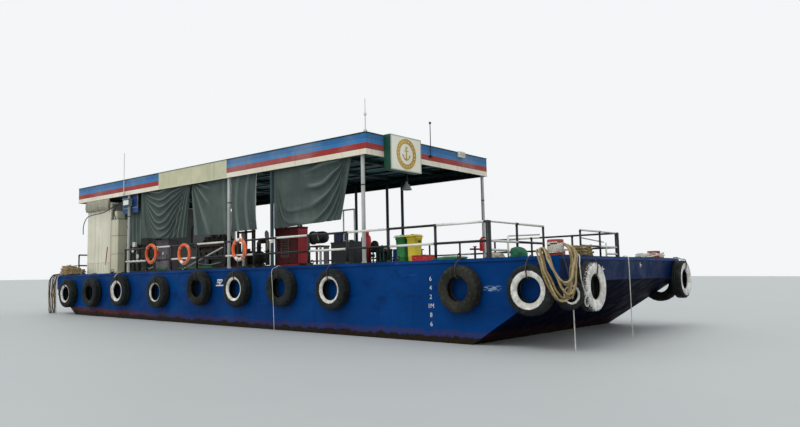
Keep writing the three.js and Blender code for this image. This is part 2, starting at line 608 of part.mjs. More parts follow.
const eyeRope = {
  radius: 14,
  route: [
    [10500, -2830, 2074.4], [10570, -2850, 2082], [10620, -2890, 2040], [10650, -2960, 1960], [10690, -3060, 1850],
    [10740, -3090, 1500], [10815, -3110, 1290],
    ...Array.from({ length: 10 }, (_, i) => {
      const a = (i * 32 * Math.PI) / 180;
      return [10840, -3120 - 95 * Math.sin(a), 1140 + 95 * Math.cos(a)];
    }),
  ],
};
add("bow_rope_eye", cordAlong(eyeRope.route, eyeRope.radius, 36), "rope_white");
const sternRopes = {
  radius: 85,
  route: [
    [-9900, -3560, 2145.4], [-10200, -3600, 2146], [-10420, -3700, 2150], [-10560, -3790, 2090], [-10640, -3850, 1900],
    [-10650, -3850, 1500], [-10640, -3840, 1000], [-10620, -3830, 560], [-10600, -3820, 300],
  ],
};
add("stern_rope_bundle", cordAlong(sternRopes.route, sternRopes.radius, 32), "rope_brown");
const greyRope = {
  radius: 12,
  route: [
    [10480, -210, 2072.4], [10570, -210, 2078], [10605, -210, 2040], [10612, -208, 1900], [10612, -200, 1000],
    [10612, -190, 130],
  ],
};
add("bow_rope_grey", cordAlong(greyRope.route, greyRope.radius, 32), "rope_white");
const sideRope = {
  radius: 8,
  route: [
    [2330, -3600, 2068.4], [2330, -3690, 2075], [2335, -3760, 2040], [2345, -3900, 1980], [2370, -3945, 1880],
    [2400, -3948, 1500], [2430, -3945, 1000], [2450, -3930, 130],
  ],
};
add("side_rope", cordAlong(sideRope.route, sideRope.radius, 36), "rope_white");

export default barge;
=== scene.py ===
import math
import random

import bpy
from mathutils import Matrix, Vector, noise


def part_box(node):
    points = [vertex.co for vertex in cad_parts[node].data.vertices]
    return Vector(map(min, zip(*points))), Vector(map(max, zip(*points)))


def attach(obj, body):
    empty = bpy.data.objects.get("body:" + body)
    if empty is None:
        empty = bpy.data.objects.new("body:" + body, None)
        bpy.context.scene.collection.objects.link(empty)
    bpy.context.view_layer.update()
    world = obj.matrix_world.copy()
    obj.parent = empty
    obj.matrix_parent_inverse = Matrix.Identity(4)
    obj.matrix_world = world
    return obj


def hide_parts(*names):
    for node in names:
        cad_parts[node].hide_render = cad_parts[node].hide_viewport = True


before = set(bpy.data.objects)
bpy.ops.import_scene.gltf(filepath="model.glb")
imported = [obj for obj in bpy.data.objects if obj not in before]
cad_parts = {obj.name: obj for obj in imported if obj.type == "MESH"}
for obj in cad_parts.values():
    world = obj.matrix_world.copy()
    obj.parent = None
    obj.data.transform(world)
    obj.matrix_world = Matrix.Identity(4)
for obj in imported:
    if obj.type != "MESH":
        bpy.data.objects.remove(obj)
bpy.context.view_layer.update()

# Places shared by several pieces, in metres: +X is the bow, -Y starboard, +Z up
hull = {"half": 10.535, "beam": 3.65, "flat": 8.09}
stand = 2.0603  # height of the deck's fittings, drawn 0.3 mm clear of the plate
canopy = {"aft": -10.44, "fore": 4.9, "side": 2.93, "low": 4.896, "high": 5.485}
water = {"level": 0.4035, "trim": -0.02}
toTop, toBow, toStarboard = (0, 0, 1), (1, 0, 0), (0, -1, 0)


def srgb(code):
    parts = [int(code[i:i + 2], 16) / 255 for i in (1, 3, 5)]
    return tuple(c / 12.92 if c <= 0.04045 else ((c + 0.055) / 1.055) ** 2.4 for c in parts) + (1.0,)


# Camera, at the place and with the lens that the photograph was taken from
def addCamera(view):
    yaw, pitch, roll = (math.radians(view[k]) for k in ("yaw", "pitch", "roll"))
    ahead = Vector((-math.sin(yaw) * math.cos(pitch), math.cos(yaw) * math.cos(pitch), math.sin(pitch)))
    side = ahead.cross(Vector(toTop)).normalized()
    top = side.cross(ahead)
    right = side * math.cos(roll) + top * math.sin(roll)
    up = top * math.cos(roll) - side * math.sin(roll)
    data = bpy.data.cameras.new("camera")
    data.lens = view["lens"]
    data.sensor_width = 36
    data.clip_end = 400
    camera = bpy.data.objects.new("camera", data)
    turn = Matrix((right, up, -ahead)).transposed().to_4x4()
    camera.matrix_world = Matrix.Translation(view["place"]) @ turn
    bpy.context.scene.collection.objects.link(camera)
    bpy.context.scene.camera = camera


addCamera({"place": (16.638, -16.097, 1.680), "yaw": 38.979, "pitch": 5.331, "roll": -1.220, "lens": 31.05})


# Geometry helpers: each piece is a list of parts joined in one mesh
def link(name, mesh):
    made = bpy.data.objects.new(name, mesh)
    bpy.context.scene.collection.objects.link(made)
    return made


def applied(obj):
    made = bpy.data.meshes.new_from_object(obj.evaluated_get(bpy.context.evaluated_depsgraph_get()))
    old = obj.data
    obj.modifiers.clear()
    obj.data = made
    bpy.data.meshes.remove(old)
    return obj


def frameAlong(points):
    # directions that turn as little as possible from one point of a line to the next
    sections = []
    normal = None
    for i, point in enumerate(points):
        ahead = (points[min(i + 1, len(points) - 1)] - points[max(i - 1, 0)]).normalized()
        if normal is None:
            normal = ahead.orthogonal().normalized()
        else:
            normal = (normal - ahead * normal.dot(ahead)).normalized()
        sections.append((point, normal.copy(), ahead.cross(normal)))
    return sections


def ringFaces(rows, sides, capped=False):
    # the faces between one ring of points and the next, and over both ends
    faces = [(i * sides + k, i * sides + (k + 1) % sides, (i + 1) * sides + (k + 1) % sides, (i + 1) * sides + k)
             for i in range(rows) for k in range(sides)]
    ends = [tuple(range(sides))[::-1], tuple(rows * sides + k for k in range(sides))]
    return faces + ends if capped else faces


def circle(count, radius=1.0):
    return [(radius * math.cos(t), radius * math.sin(t)) for t in [2 * math.pi * k / count for k in range(count)]]


class Parts:
    # triangles and quads of one piece; "look" is the number of one of its materials, "soft" a smooth face
    def __init__(self, name, *materials):
        self.name = name
        self.materials = [paintOf[material] for material in materials]
        self.verts, self.faces, self.looks, self.soft = [], [], [], []
        self.coats = {}

    def mesh(self, verts, faces, look=0, soft=False):
        start = len(self.verts)
        self.verts.extend(tuple(v) for v in verts)
        self.faces.extend(tuple(start + i for i in face) for face in faces)
        self.looks.extend([look] * len(faces))
        self.soft.extend([soft] * len(faces))

    def box(self, low, high, look=0, turn=None, about=None):
        xs, ys, zs = (sorted(pair) for pair in zip(low, high))
        corners = [Vector((x, y, z)) for z in zs for y in ys for x in xs]
        if turn:
            pivot = Vector(about) if about else sum(corners, Vector()) / 8
            corners = [pivot + turn @ (c - pivot) for c in corners]
        faces = [(0, 2, 3, 1), (4, 5, 7, 6), (0, 1, 5, 4), (2, 6, 7, 3), (0, 4, 6, 2), (1, 3, 7, 5)]
        self.mesh(corners, faces, look)

    def prism(self, outline, low, high, along=2, look=0):
        # an outline of points in the other two axes, carried along one axis
        def place(p, d):
            spot = list(p)
            spot.insert(along, d)
            return spot
        n = len(outline)
        verts = [place(p, low) for p in outline] + [place(p, high) for p in outline]
        faces = [tuple(range(n))[::-1], tuple(range(n, 2 * n))]
        faces += [(i, (i + 1) % n, n + (i + 1) % n, n + i) for i in range(n)]
        self.mesh(verts, faces, look)

    def tube(self, points, radius, sides=10, look=0, closed=False):
        points = [Vector(p) for p in points]
        if closed:
            points = points + points[:1]
        sections = frameAlong(points)
        radii = radius if isinstance(radius, (list, tuple)) else [radius] * len(points)
        verts = []
        for (point, a, b), r in zip(sections, radii):
            for k in range(sides):
                t = 2 * math.pi * k / sides
                verts.append(point + (a * math.cos(t) + b * math.sin(t)) * r)
        self.mesh(verts, ringFaces(len(points) - 1, sides, not closed), look, True)
        if not closed:
            self.soft[-2:] = [False, False]

    def lathe(self, profile, centre, axis=toTop, sides=32, look=0, soft=True, looks=None, swell=None, coats=None):
        # profile holds (radius, along) points; swell changes a point's radius by its number and its turn
        turnTo = Vector(toTop).rotation_difference(Vector(axis)).to_matrix()
        centre = Vector(centre)
        verts = []
        for i, (r, h) in enumerate(profile):
            for k in range(sides):
                t = 2 * math.pi * k / sides
                rr = r + (swell(i, k) if swell else 0)
                verts.append(centre + turnTo @ Vector((rr * math.cos(t), rr * math.sin(t), h)))
                if coats:
                    self.coats[len(self.verts) + len(verts) - 1] = coats[i]
        faces = ringFaces(len(profile) - 1, sides)
        self.mesh(verts, faces, look, soft)
        if looks:
            self.looks[-len(faces):] = [number for number in looks for k in range(sides)]

    def done(self, body="barge", replaces=(), edge=0.0):
        mesh = bpy.data.meshes.new(self.name)
        mesh.from_pydata(self.verts, [], self.faces)
        for material in self.materials:
            mesh.materials.append(material)
        mesh.polygons.foreach_set("material_index", self.looks)
        mesh.polygons.foreach_set("use_smooth", self.soft)
        if self.coats:
            values = mesh.attributes.new("coat", "FLOAT", "POINT")
            values.data.foreach_set("value", [self.coats.get(i, -1.0) for i in range(len(self.verts))])
        mesh.update()
        piece = link(self.name, mesh)
        if edge:
            bevel = piece.modifiers.new("edge", "BEVEL")
            bevel.width = edge
            bevel.segments = 1
            bevel.angle_limit = math.radians(40)
            applied(piece)
        if replaces:
            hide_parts(*replaces)
        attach(piece, body)
        return piece


def through(points, count):
    # a smooth centripetal line through the points, cut in even steps
    points = [Vector(p) for p in points]
    ends = [points[0] * 2 - points[1]] + points + [points[-1] * 2 - points[-2]]
    line = []
    for a, b, c, d in zip(ends, ends[1:], ends[2:], ends[3:]):
        t0, t1 = 0.0, (b - a).length ** 0.5
        t2 = t1 + (c - b).length ** 0.5
        t3 = t2 + (d - c).length ** 0.5
        for k in range(24):
            t = t1 + (t2 - t1) * k / 24
            a1 = a * ((t1 - t) / (t1 - t0)) + b * ((t - t0) / (t1 - t0))
            a2 = b * ((t2 - t) / (t2 - t1)) + c * ((t - t1) / (t2 - t1))
            a3 = c * ((t3 - t) / (t3 - t2)) + d * ((t - t2) / (t3 - t2))
            b1 = a1 * ((t2 - t) / (t2 - t0)) + a2 * ((t - t0) / (t2 - t0))
            b2 = a2 * ((t3 - t) / (t3 - t1)) + a3 * ((t - t1) / (t3 - t1))
            line.append(b1 * ((t2 - t) / (t2 - t1)) + b2 * ((t - t1) / (t2 - t1)))
    line.append(points[-1].copy())
    runs = [0.0]
    for a, b in zip(line, line[1:]):
        runs.append(runs[-1] + (b - a).length)
    even, j = [], 0
    for i in range(count + 1):
        want = runs[-1] * i / count
        while j < len(runs) - 2 and runs[j + 1] < want:
            j += 1
        part = (want - runs[j]) / max(runs[j + 1] - runs[j], 1e-9)
        even.append(line[j].lerp(line[j + 1], min(max(part, 0), 1)))
    return even, runs[-1]


# Short names for the nodes that are used most: the inputs that are given in turn, the output handed back, settings
kinds = {
    "maths": ("ShaderNodeMath", (0, 1, 2), 0, {}),
    "cross": ("ShaderNodeVectorMath", (0, 1), 0, {"operation": "CROSS_PRODUCT"}),
    "sum": ("ShaderNodeVectorMath", (0, 1), 0, {"operation": "ADD"}),
    "scale": ("ShaderNodeVectorMath", (0, 3), 0, {"operation": "SCALE"}),
    "vector": ("ShaderNodeCombineXYZ", (0, 1, 2), 0, {}),
    "axes": ("ShaderNodeSeparateXYZ", (0,), slice(3), {}),
    "instances": ("GeometryNodeInstanceOnPoints", ("Points", "Instance", "Rotation"), 0, {}),
    "noise": ("ShaderNodeTexNoise", ("Scale", "Detail", "Roughness", "Vector"), 0, {}),
    "stretch": ("ShaderNodeMapping", ("Scale",), 0, {}),
    "span": ("ShaderNodeMapRange", (0, 1, 2, 3, 4), 0, {"interpolation_type": "SMOOTHSTEP"}),
    "mix": ("ShaderNodeMix", (0, 6, 7), 2, {"data_type": "RGBA"}),
    "bump": ("ShaderNodeBump", ("Height", "Distance", "Strength", "Normal"), 0, {}),
}


def perMetre(size, turn=1):
    # a pattern's scale, to two figures, from the real size of its patches or threads in millimetres
    return float(f"{turn * 1000 / size:.2g}")


class Nodes:
    def add(self, kind, *given, **settings):
        # one node with its settings and links; a name in capitals is a sum, such as MULTIPLY, and a hex code is a colour
        if kind.isupper():
            kind, settings = "maths", {"operation": kind}
        name, inputs, out, fixed = kinds.get(kind, (kind, (), None, {}))
        made = self.tree.nodes.new(name)
        for key, value in {**fixed, **settings}.items():
            setattr(made, key, value)
        values = given[0] if given and isinstance(given[0], dict) else dict(zip(inputs, given))
        if kind == "noise":
            values = {"Detail": 4, "Roughness": 0.55, **values, "Scale": perMetre(values["Scale"])}
        if kind in ("noise", "stretch"):
            # a pattern lies in the object's own metres, stretched where three numbers are given
            values["Vector"] = self.add("stretch", values["Vector"]) if "Vector" in values else self.place
        for key, value in values.items():
            if isinstance(value, bpy.types.NodeSocket):
                self.tree.links.new(value, made.inputs[key])
            else:
                made.inputs[key].default_value = srgb(value) if isinstance(value, str) and value[0] == "#" else value
        return made if out is None else made.outputs[out]


class Growth(Nodes):
    # a Geometry Nodes tree with named sizes; it ends in real geometry that has its material
    def __init__(self, name, sizes):
        self.tree = bpy.data.node_groups.new(name, "GeometryNodeTree")
        sockets = self.tree.interface
        sockets.new_socket("Geometry", in_out="INPUT", socket_type="NodeSocketGeometry")
        for label, value in {**sizes, "Material": None}.items():
            kind = "Material" if value is None else "Int" if isinstance(value, int) else "Float"
            made = sockets.new_socket(label, in_out="INPUT", socket_type="NodeSocket" + kind)
            if value is not None:
                made.default_value = value
        sockets.new_socket("Geometry", in_out="OUTPUT", socket_type="NodeSocketGeometry")
        self.given = self.add("NodeGroupInput").outputs
        self.base = self.given["Geometry"]

    def facing(self, axis, pivot="AUTO"):
        # the turn of each point of the base mesh, from its "out"
        out = self.add("GeometryNodeInputNamedAttribute", {"Name": "out"}, data_type="FLOAT_VECTOR").outputs["Attribute"]
        return self.add("FunctionNodeAlignRotationToVector", {"Vector": out}, axis=axis, pivot_axis=pivot).outputs[0]

    def finish(self, geometry):
        real = self.add("GeometryNodeRealizeInstances", {0: geometry}).outputs[0]
        painted = self.add("GeometryNodeSetMaterial", {"Geometry": real, "Material": self.given["Material"]}).outputs[0]
        self.add("NodeGroupOutput", {0: painted})
        return self


def ropeGrowth():
    # strands that wind round each line of the base mesh
    g = Growth("laid_rope", {"Diameter": 0.03, "Strands": 3, "Lay": 3.2, "Sides": 6})
    wide, strands = g.given["Diameter"], g.given["Strands"]
    line = g.add("GeometryNodeMeshToCurve", {0: g.base}).outputs[0]
    step = g.add("MULTIPLY", wide, 0.32)
    line = g.add("GeometryNodeResampleCurve", {"Curve": line, "Length": step}, mode="LENGTH").outputs[0]
    copies = g.add("GeometryNodeDuplicateElements", {"Geometry": line, "Amount": strands}, domain="SPLINE").outputs
    along = g.add("GeometryNodeSplineParameter").outputs["Length"]
    turns = g.add("DIVIDE", along, g.add("MULTIPLY", wide, g.given["Lay"]))
    angle = g.add("MULTIPLY", g.add("ADD", turns, g.add("DIVIDE", copies["Duplicate Index"], strands)), 2 * math.pi)
    ahead, side = g.add("GeometryNodeInputTangent").outputs[0], g.add("GeometryNodeInputNormal").outputs[0]
    third = g.add("cross", ahead, side)
    out = g.add("MULTIPLY", wide, 0.265)
    shift = g.add("sum", g.add("scale", side, g.add("MULTIPLY", g.add("COSINE", angle), out)),
                  g.add("scale", third, g.add("MULTIPLY", g.add("SINE", angle), out)))
    strand = g.add("GeometryNodeSetPosition", {"Geometry": copies["Geometry"], "Offset": shift}).outputs[0]
    ring = g.add("GeometryNodeCurvePrimitiveCircle", {"Resolution": g.given["Sides"], "Radius": g.add("MULTIPLY", wide, 0.232)})
    return g.finish(g.add("GeometryNodeCurveToMesh",
                          {"Curve": strand, "Profile Curve": ring.outputs["Curve"], "Fill Caps": True}).outputs[0])


def studGrowth():
    # a rivet or screw head on each point of the base mesh, turned along its "out"
    g = Growth("studs", {"Radius": 0.006, "Height": 0.004, "Crown": 0.6, "Sides": 8})
    values = {"Vertices": g.given["Sides"], "Radius Top": g.add("MULTIPLY", g.given["Radius"], g.given["Crown"]),
              "Radius Bottom": g.given["Radius"], "Depth": g.given["Height"]}
    head = g.add("GeometryNodeMeshCone", values).outputs["Mesh"]
    return g.finish(g.add("instances", g.base, head, g.facing("Z")))


def slatGrowth():
    # a stack of tilted slats above each point of the base mesh, its back towards "out" reversed
    g = Growth("slats", {"Count": 12, "Pitch": 0.04, "Length": 0.5, "Depth": 0.014, "Thickness": 0.004, "Tilt": 0.5})
    slat = g.add("GeometryNodeMeshCube",
                 {"Size": g.add("vector", g.given["Length"], g.given["Depth"], g.given["Thickness"])}).outputs["Mesh"]
    column = g.add("GeometryNodeMeshLine", {"Count": g.given["Count"],
                                            "Offset": g.add("vector", 0.0, 0.0, g.given["Pitch"])}).outputs[0]
    tilt = g.add("FunctionNodeEulerToRotation", {0: g.add("vector", g.given["Tilt"], 0.0, 0.0)}).outputs[0]
    return g.finish(g.add("instances", g.base, g.add("instances", column, slat, tilt), g.facing("Y", "Z")))


def waveGrowth():
    # sheet rolled in waves along X, laid from each point of the base mesh
    g = Growth("corrugated_sheet", {"Run": 15.2, "Width": 5.76, "Pitch": 0.2, "Rise": 0.022, "Columns": 600, "Rows": 5})
    values = {"Size X": g.given["Run"], "Size Y": g.given["Width"], "Vertices X": g.given["Columns"],
              "Vertices Y": g.given["Rows"]}
    grid = g.add("GeometryNodeMeshGrid", values).outputs["Mesh"]
    x = g.add("ShaderNodeSeparateXYZ", {0: g.add("GeometryNodeInputPosition").outputs[0]}).outputs[0]
    wave = g.add("SINE", g.add("MULTIPLY", g.add("DIVIDE", x, g.given["Pitch"]), 2 * math.pi))
    high = g.add("MULTIPLY", g.add("MULTIPLY_ADD", wave, 0.5, 0.5), g.given["Rise"])
    sheet = g.add("GeometryNodeSetPosition", {"Geometry": grid, "Offset": g.add("vector", 0.0, 0.0, high)}).outputs[0]
    level = g.add("FunctionNodeEulerToRotation").outputs[0]
    return g.finish(g.add("instances", g.base, sheet, level))


growths = {"rope": ropeGrowth(), "studs": studGrowth(), "slats": slatGrowth(), "waves": waveGrowth()}


def grow(name, kind, material, verts, edges=(), outs=None, body="barge", replaces=(), slot=None, finish=None, **sizes):
    # one plain mesh from a tree and the points or lines that it grows on
    base = bpy.data.meshes.new(name)
    base.from_pydata([tuple(v) for v in verts], list(edges), [])
    if outs:
        base.attributes.new("out", "FLOAT_VECTOR", "POINT").data.foreach_set("vector", [c for v in outs for c in v])
    piece = link(name, base)
    growth = piece.modifiers.new("growth", "NODES")
    growth.node_group = growths[kind].tree
    for socket in growths[kind].tree.interface.items_tree:
        if socket.in_out == "INPUT" and socket.name in {**sizes, "Material": None}:
            growth[socket.identifier] = {**sizes, "Material": paintOf[material]}[socket.name]
    applied(piece)
    if finish:
        finish(piece)
    piece.data.polygons.foreach_set("use_smooth", [kind in ("rope", "waves")] * len(piece.data.polygons))
    if replaces:
        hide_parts(*replaces)
    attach(piece, body)
    return piece


def chained(lines):
    # points and edges of several lines
    verts, edges = [], []
    for line in lines:
        edges += [(len(verts) + i, len(verts) + i + 1) for i in range(len(line) - 1)]
        verts += line
    return verts, edges


class Shade(Nodes):
    def __init__(self, name):
        self.material = bpy.data.materials.new(name)
        self.material.use_nodes = True
        self.tree = self.material.node_tree
        self.surface = self.tree.nodes["Principled BSDF"]
        self.place = self.add("ShaderNodeTexCoord").outputs["Object"]

    def patches(self, low, high, *pattern):
        # 0 where the noise is under low, 1 where it is over high; the pattern starts with its size in millimetres
        return self.add("span", self.add("noise", *pattern), low, high)

    def over(self, colour, tone, where, strength):
        # a second colour over the first where a pattern is, and how strong it is there
        return self.add("mix", self.add("MULTIPLY", where, strength), colour, tone)

    def inside(self, value, low, high, soft=0.002):
        # 1 between two values, 0 outside them
        return self.add("MULTIPLY", self.add("span", value, low - soft, low + soft),
                        self.add("span", value, high - soft, high + soft, 1.0, 0.0))

    def set(self, **values):
        for key, value in values.items():
            name = key.replace("_", " ")
            if isinstance(value, bpy.types.NodeSocket):
                self.tree.links.new(value, self.surface.inputs[name])
            else:
                self.surface.inputs[name].default_value = value


def paint(name, base, faded, roughness, dirty=0.3, rusty=0.0, grime="#3a352c", spots=250, metal=0.0, gloss=0.35,
          grain=11.1, under=None):
    # painted or moulded surface: faded in patches of a metre, with runs of dirt 140 mm apart, rust in spots, and a fine
    # grain, which is a millimetre or less in life and is drawn at 11 mm so that it shows
    s = Shade(name)
    broad = s.add("noise", 1110)
    colour = s.add("mix", s.add("span", broad, 0.35, 0.68), base, faded)
    runs = s.add("noise", 1000, 6, 0.6, (7, 7, 0.45))
    dirt = s.add("MULTIPLY", s.add("span", runs, 0.48, 0.78), dirty)
    colour = s.add("mix", dirt, colour, grime)
    rough = s.add("span", s.add("noise", 70, 5), 0.3, 0.7, roughness - 0.08, roughness + 0.12)
    height = s.add("noise", grain)
    if rusty:
        rust = s.add("span", s.add("noise", spots, 9, 0.68), 0.74 - rusty * 0.24, 0.78 - rusty * 0.2)
        tone = s.add("mix", s.add("noise", 25, 6), "#3a1c10", "#8c4a22")
        colour = s.add("mix", rust, colour, tone)
        rough = s.add("MAXIMUM", rough, s.add("MULTIPLY", rust, 0.85))
        height = s.add("MULTIPLY_ADD", rust, -0.6, height)
    # a second colour on faces that turn downwards; the roof's is a teal brighter than its top, painted light in the
    # shade under the sheet
    if under:
        upwards = s.add("axes", s.add("ShaderNodeNewGeometry").outputs["Normal"])[2]
        colour = s.add("mix", s.add("span", upwards, 0.0, -0.1), colour, under)
    s.set(Base_Color=colour, Roughness=rough, Metallic=metal, Specular_IOR_Level=gloss,
          Normal=s.add("bump", height, 0.0006, 0.8))
    return s.material


def hullPaint():
    # marine enamel on plate: dished between frames, scuffed by tyres, fouled above the water; green on the deck;
    # painted shade on the ends and rakes
    s = Shade("marine_enamel")
    x, y, z = s.add("axes", s.place)
    level = s.add("ADD", s.add("MULTIPLY", x, -water["trim"]), -water["level"])
    height = s.add("ADD", z, level)
    ragged = s.add("ADD", height, s.add("span", s.add("noise", 290, 8, 0.62, (1, 1, 0.5)), 0.3, 0.7, -0.045, 0.045))
    broad = s.add("noise", 2200, 5)
    blue = s.add("mix", s.add("span", broad, 0.35, 0.7), "#003068", "#043c7a")
    patchy = s.add("noise", 770, 6, 0.6, (1, 1, 2.2))
    blue = s.add("mix", s.add("span", patchy, 0.56, 0.68, 0, 0.25), blue, "#0c4486")
    rubbed = s.add("MULTIPLY", s.inside(z, 0.9, 1.95, 0.2), s.patches(0.5, 0.72, 1000, 7, 0.6, (1.6, 1.6, 3.5)))
    blue = s.over(blue, "#061c44", rubbed, 0.55)
    scrape = s.patches(0.66, 0.69, 1000, 9, 0.6, (0.7, 0.7, 34))
    scrapeHere = s.patches(0.52, 0.64, 1670, 3, 0.5)
    blue = s.over(blue, "#5c83b4", s.add("MULTIPLY", scrape, scrapeHere), 0.5)
    gouge = s.add("MULTIPLY", s.inside(x, 8.8, 9.2, 0.05), s.inside(z, 1.36, 1.47, 0.02))
    gouge = s.add("MULTIPLY", gouge, s.patches(0.5, 0.56, 1000, 8, 0.6, (9, 9, 60)))
    blue = s.over(blue, "#9fb4cc", gouge, 0.8)
    runs = s.add("MULTIPLY", s.patches(0.56, 0.72, 1000, 7, 0.6, (5, 5, 0.3)), 0.34)
    blue = s.add("mix", runs, blue, "#071c3c")
    rusty = s.patches(0.69, 0.74, 1000, 9, 0.7, (3.2, 3.2, 1.4))
    rustTone = s.add("mix", s.add("noise", 33, 6), "#4a2413", "#8b4a26")
    blue = s.add("mix", s.add("MULTIPLY", rusty, 0.7), blue, rustTone)
    # painted shade: the end faces are darkened, and the rakes under them painted nearly black, as they turn from the
    # light and face down
    normalX, _, normalZ = s.add("axes", s.add("ShaderNodeNewGeometry").outputs["Normal"])
    blue = s.over(blue, "#020a22", s.add("span", s.add("ABSOLUTE", normalX), 0.3, 0.6), 0.66)
    blue = s.over(blue, "#040a20", s.add("span", normalZ, -0.12, -0.3), 0.985)
    # boot-top: red-brown aft, thin and dark forward, then weed at the water
    aft = s.add("span", x, -1.0, -8.0)
    boot = s.add("MULTIPLY", s.add("span", ragged, 0.28, 0.24), s.add("span", aft, 0.0, 1.0, 0.3, 0.95))
    blue = s.add("mix", boot, blue, s.add("mix", s.add("noise", 111, 6), "#3c1c18", "#5f3027"))
    weed = s.add("span", ragged, 0.16, 0.11)
    colour = s.add("mix", weed, blue, s.add("mix", s.add("noise", 62, 8), "#100f0b", "#33281c"))
    # deck
    top = s.add("span", normalZ, 0.8, 0.9)
    deck = s.add("mix", s.patches(0.4, 0.62, 1430, 6), "#3f5c4b", "#56705c")
    deck = s.add("mix", s.add("MULTIPLY", s.patches(0.52, 0.64, 600, 9, 0.7), 0.75), deck,
                 s.add("mix", s.add("noise", 42, 5), "#4e3022", "#7c5238"))
    deck = s.over(deck, "#2b2d29", s.patches(0.55, 0.7, 200, 6), 0.5)
    colour = s.add("mix", top, colour, deck)
    # plates: dished between frames 610 mm apart, with seams every 3.05 m
    frames = s.add("ABSOLUTE", s.add("SINE", s.add("MULTIPLY", x, math.pi / 0.61)))
    rows = s.add("ABSOLUTE", s.add("SINE", s.add("MULTIPLY", s.add("ADD", z, 0.08), math.pi / 0.74)))
    dish = s.add("MULTIPLY", s.add("POWER", frames, 0.6), s.add("POWER", rows, 0.6))
    dish = s.add("MULTIPLY", dish, s.add("span", s.add("noise", 2000, 2), 0.3, 0.7, 0.3, 1.0))
    joint = s.add("ABSOLUTE", s.add("SUBTRACT", s.add("FRACT", s.add("DIVIDE", x, 3.05)), 0.5))
    first = s.add("bump", dish, -0.006, 0.8)
    second = s.add("bump", s.add("noise", 900, 3, 0.5), 0.02, 0.6, first)
    third = s.add("bump", s.add("span", joint, 0.0, 0.0035, 1.0, 0.0), 0.003, 1.0, second)
    s.set(Base_Color=colour, Roughness=s.add("span", s.add("noise", 330, 6), 0.3, 0.7, 0.36, 0.6),
          Specular_IOR_Level=s.add("span", normalZ, -0.12, -0.3, 0.05, 0.008),
          Normal=s.add("bump", s.add("noise", 16.7, 5), 0.0005, 0.6, third))
    return s.material


def fasciaPaint(bare):
    # enamelled sheet with bands: dark trim, two blues, red-brown, cream; one panel is left cream
    s = Shade("striped_enamel")
    x, y, z = s.add("axes", s.place)
    share = s.add("DIVIDE", s.add("SUBTRACT", z, canopy["low"]), canopy["high"] - canopy["low"])
    colour = s.add("mix", s.patches(0.35, 0.7, 800, 5), "#ddd6c2", "#ece6d6")
    for low, high, code in bare["bands"]:
        colour = s.add("mix", s.inside(share, low, high, 0.004), colour, code)
    panel = s.add("MULTIPLY", s.inside(x, *bare["panel"]), s.add("span", y, -2.8, -2.9))
    colour = s.add("mix", panel, colour, s.add("mix", s.patches(0.4, 0.7, 500, 5), "#bfbf9e", "#cccaae"))
    fade = s.add("span", s.add("noise", 1250, 5), 0.4, 0.75, 0.0, 0.22)
    colour = s.add("mix", fade, colour, "#b9bcb8")
    runs = s.add("MULTIPLY", s.patches(0.52, 0.75, 1000, 7, 0.6, (9, 9, 0.7)), 0.28)
    colour = s.add("mix", runs, colour, "#4b463d")
    # the inner faces are near black
    innerY = s.add("span", s.add("ABSOLUTE", y), 2.895, 2.892)
    innerX = s.add("MULTIPLY", s.add("span", x, -10.405, -10.402), s.add("span", x, 4.865, 4.862))
    colour = s.add("mix", s.add("MULTIPLY", innerY, innerX), colour, "#141c1e")
    s.set(Base_Color=colour, Roughness=s.add("span", s.add("noise", 125, 5), 0.3, 0.7, 0.36, 0.55),
          Specular_IOR_Level=0.2,
          Normal=s.add("bump", s.add("noise", 620, 3), 0.006, 0.5, s.add("bump", s.add("noise", 14.3, 4), 0.0004, 0.6)))
    return s.material


def canvas(name, look):
    # coated canvas: plain weave, creases, mildew and salt, with a painted highlight on the crests of its folds and
    # painted shade in their valleys; its threads, a millimetre apart in life, are drawn at 2.4 mm
    s = Shade(name)
    x, y, z = s.add("axes", s.place)
    threads = perMetre(2.4, 2 * math.pi)
    weave = s.add("ADD", s.add("SINE", s.add("MULTIPLY", x, threads)), s.add("SINE", s.add("MULTIPLY", z, threads)))
    colour = s.add("mix", s.patches(0.35, 0.7, 770, 6), look["base"], look["faded"])
    colour = s.over(colour, look["stain"], s.patches(0.5, 0.75, 1000, 7, 0.6, (6, 6, 0.7)), 0.4)
    colour = s.over(colour, look["pale"], s.patches(0.6, 0.72, 143, 8, 0.7), 0.35)
    # painted light from the fold height that each point carries: a painted highlight on the crests, in the pale colour
    # of the salt, and painted shade in the valleys
    fold = s.add("ShaderNodeAttribute", attribute_name="coat").outputs["Fac"]
    colour = s.add("mix", s.add("span", fold, 0.2, 1.1, 0.0, 0.75), colour, look["pale"])
    colour = s.add("mix", s.add("span", fold, -0.4, -1.1, 0.0, 0.7), colour, look["valleyShade"])
    crease = s.add("noise", 1000, 8, 0.65, (3.5, 3.5, 2.2))
    normal = s.add("bump", s.add("noise", 200, 6, 0.6), 0.012, 0.6, s.add("bump", crease, 0.03, 0.6))
    s.set(Base_Color=colour, Roughness=0.72, Specular_IOR_Level=0.25, Sheen_Weight=0.08, Sheen_Roughness=0.5,
          Normal=s.add("bump", weave, 0.0004, 0.4, normal))
    return s.material


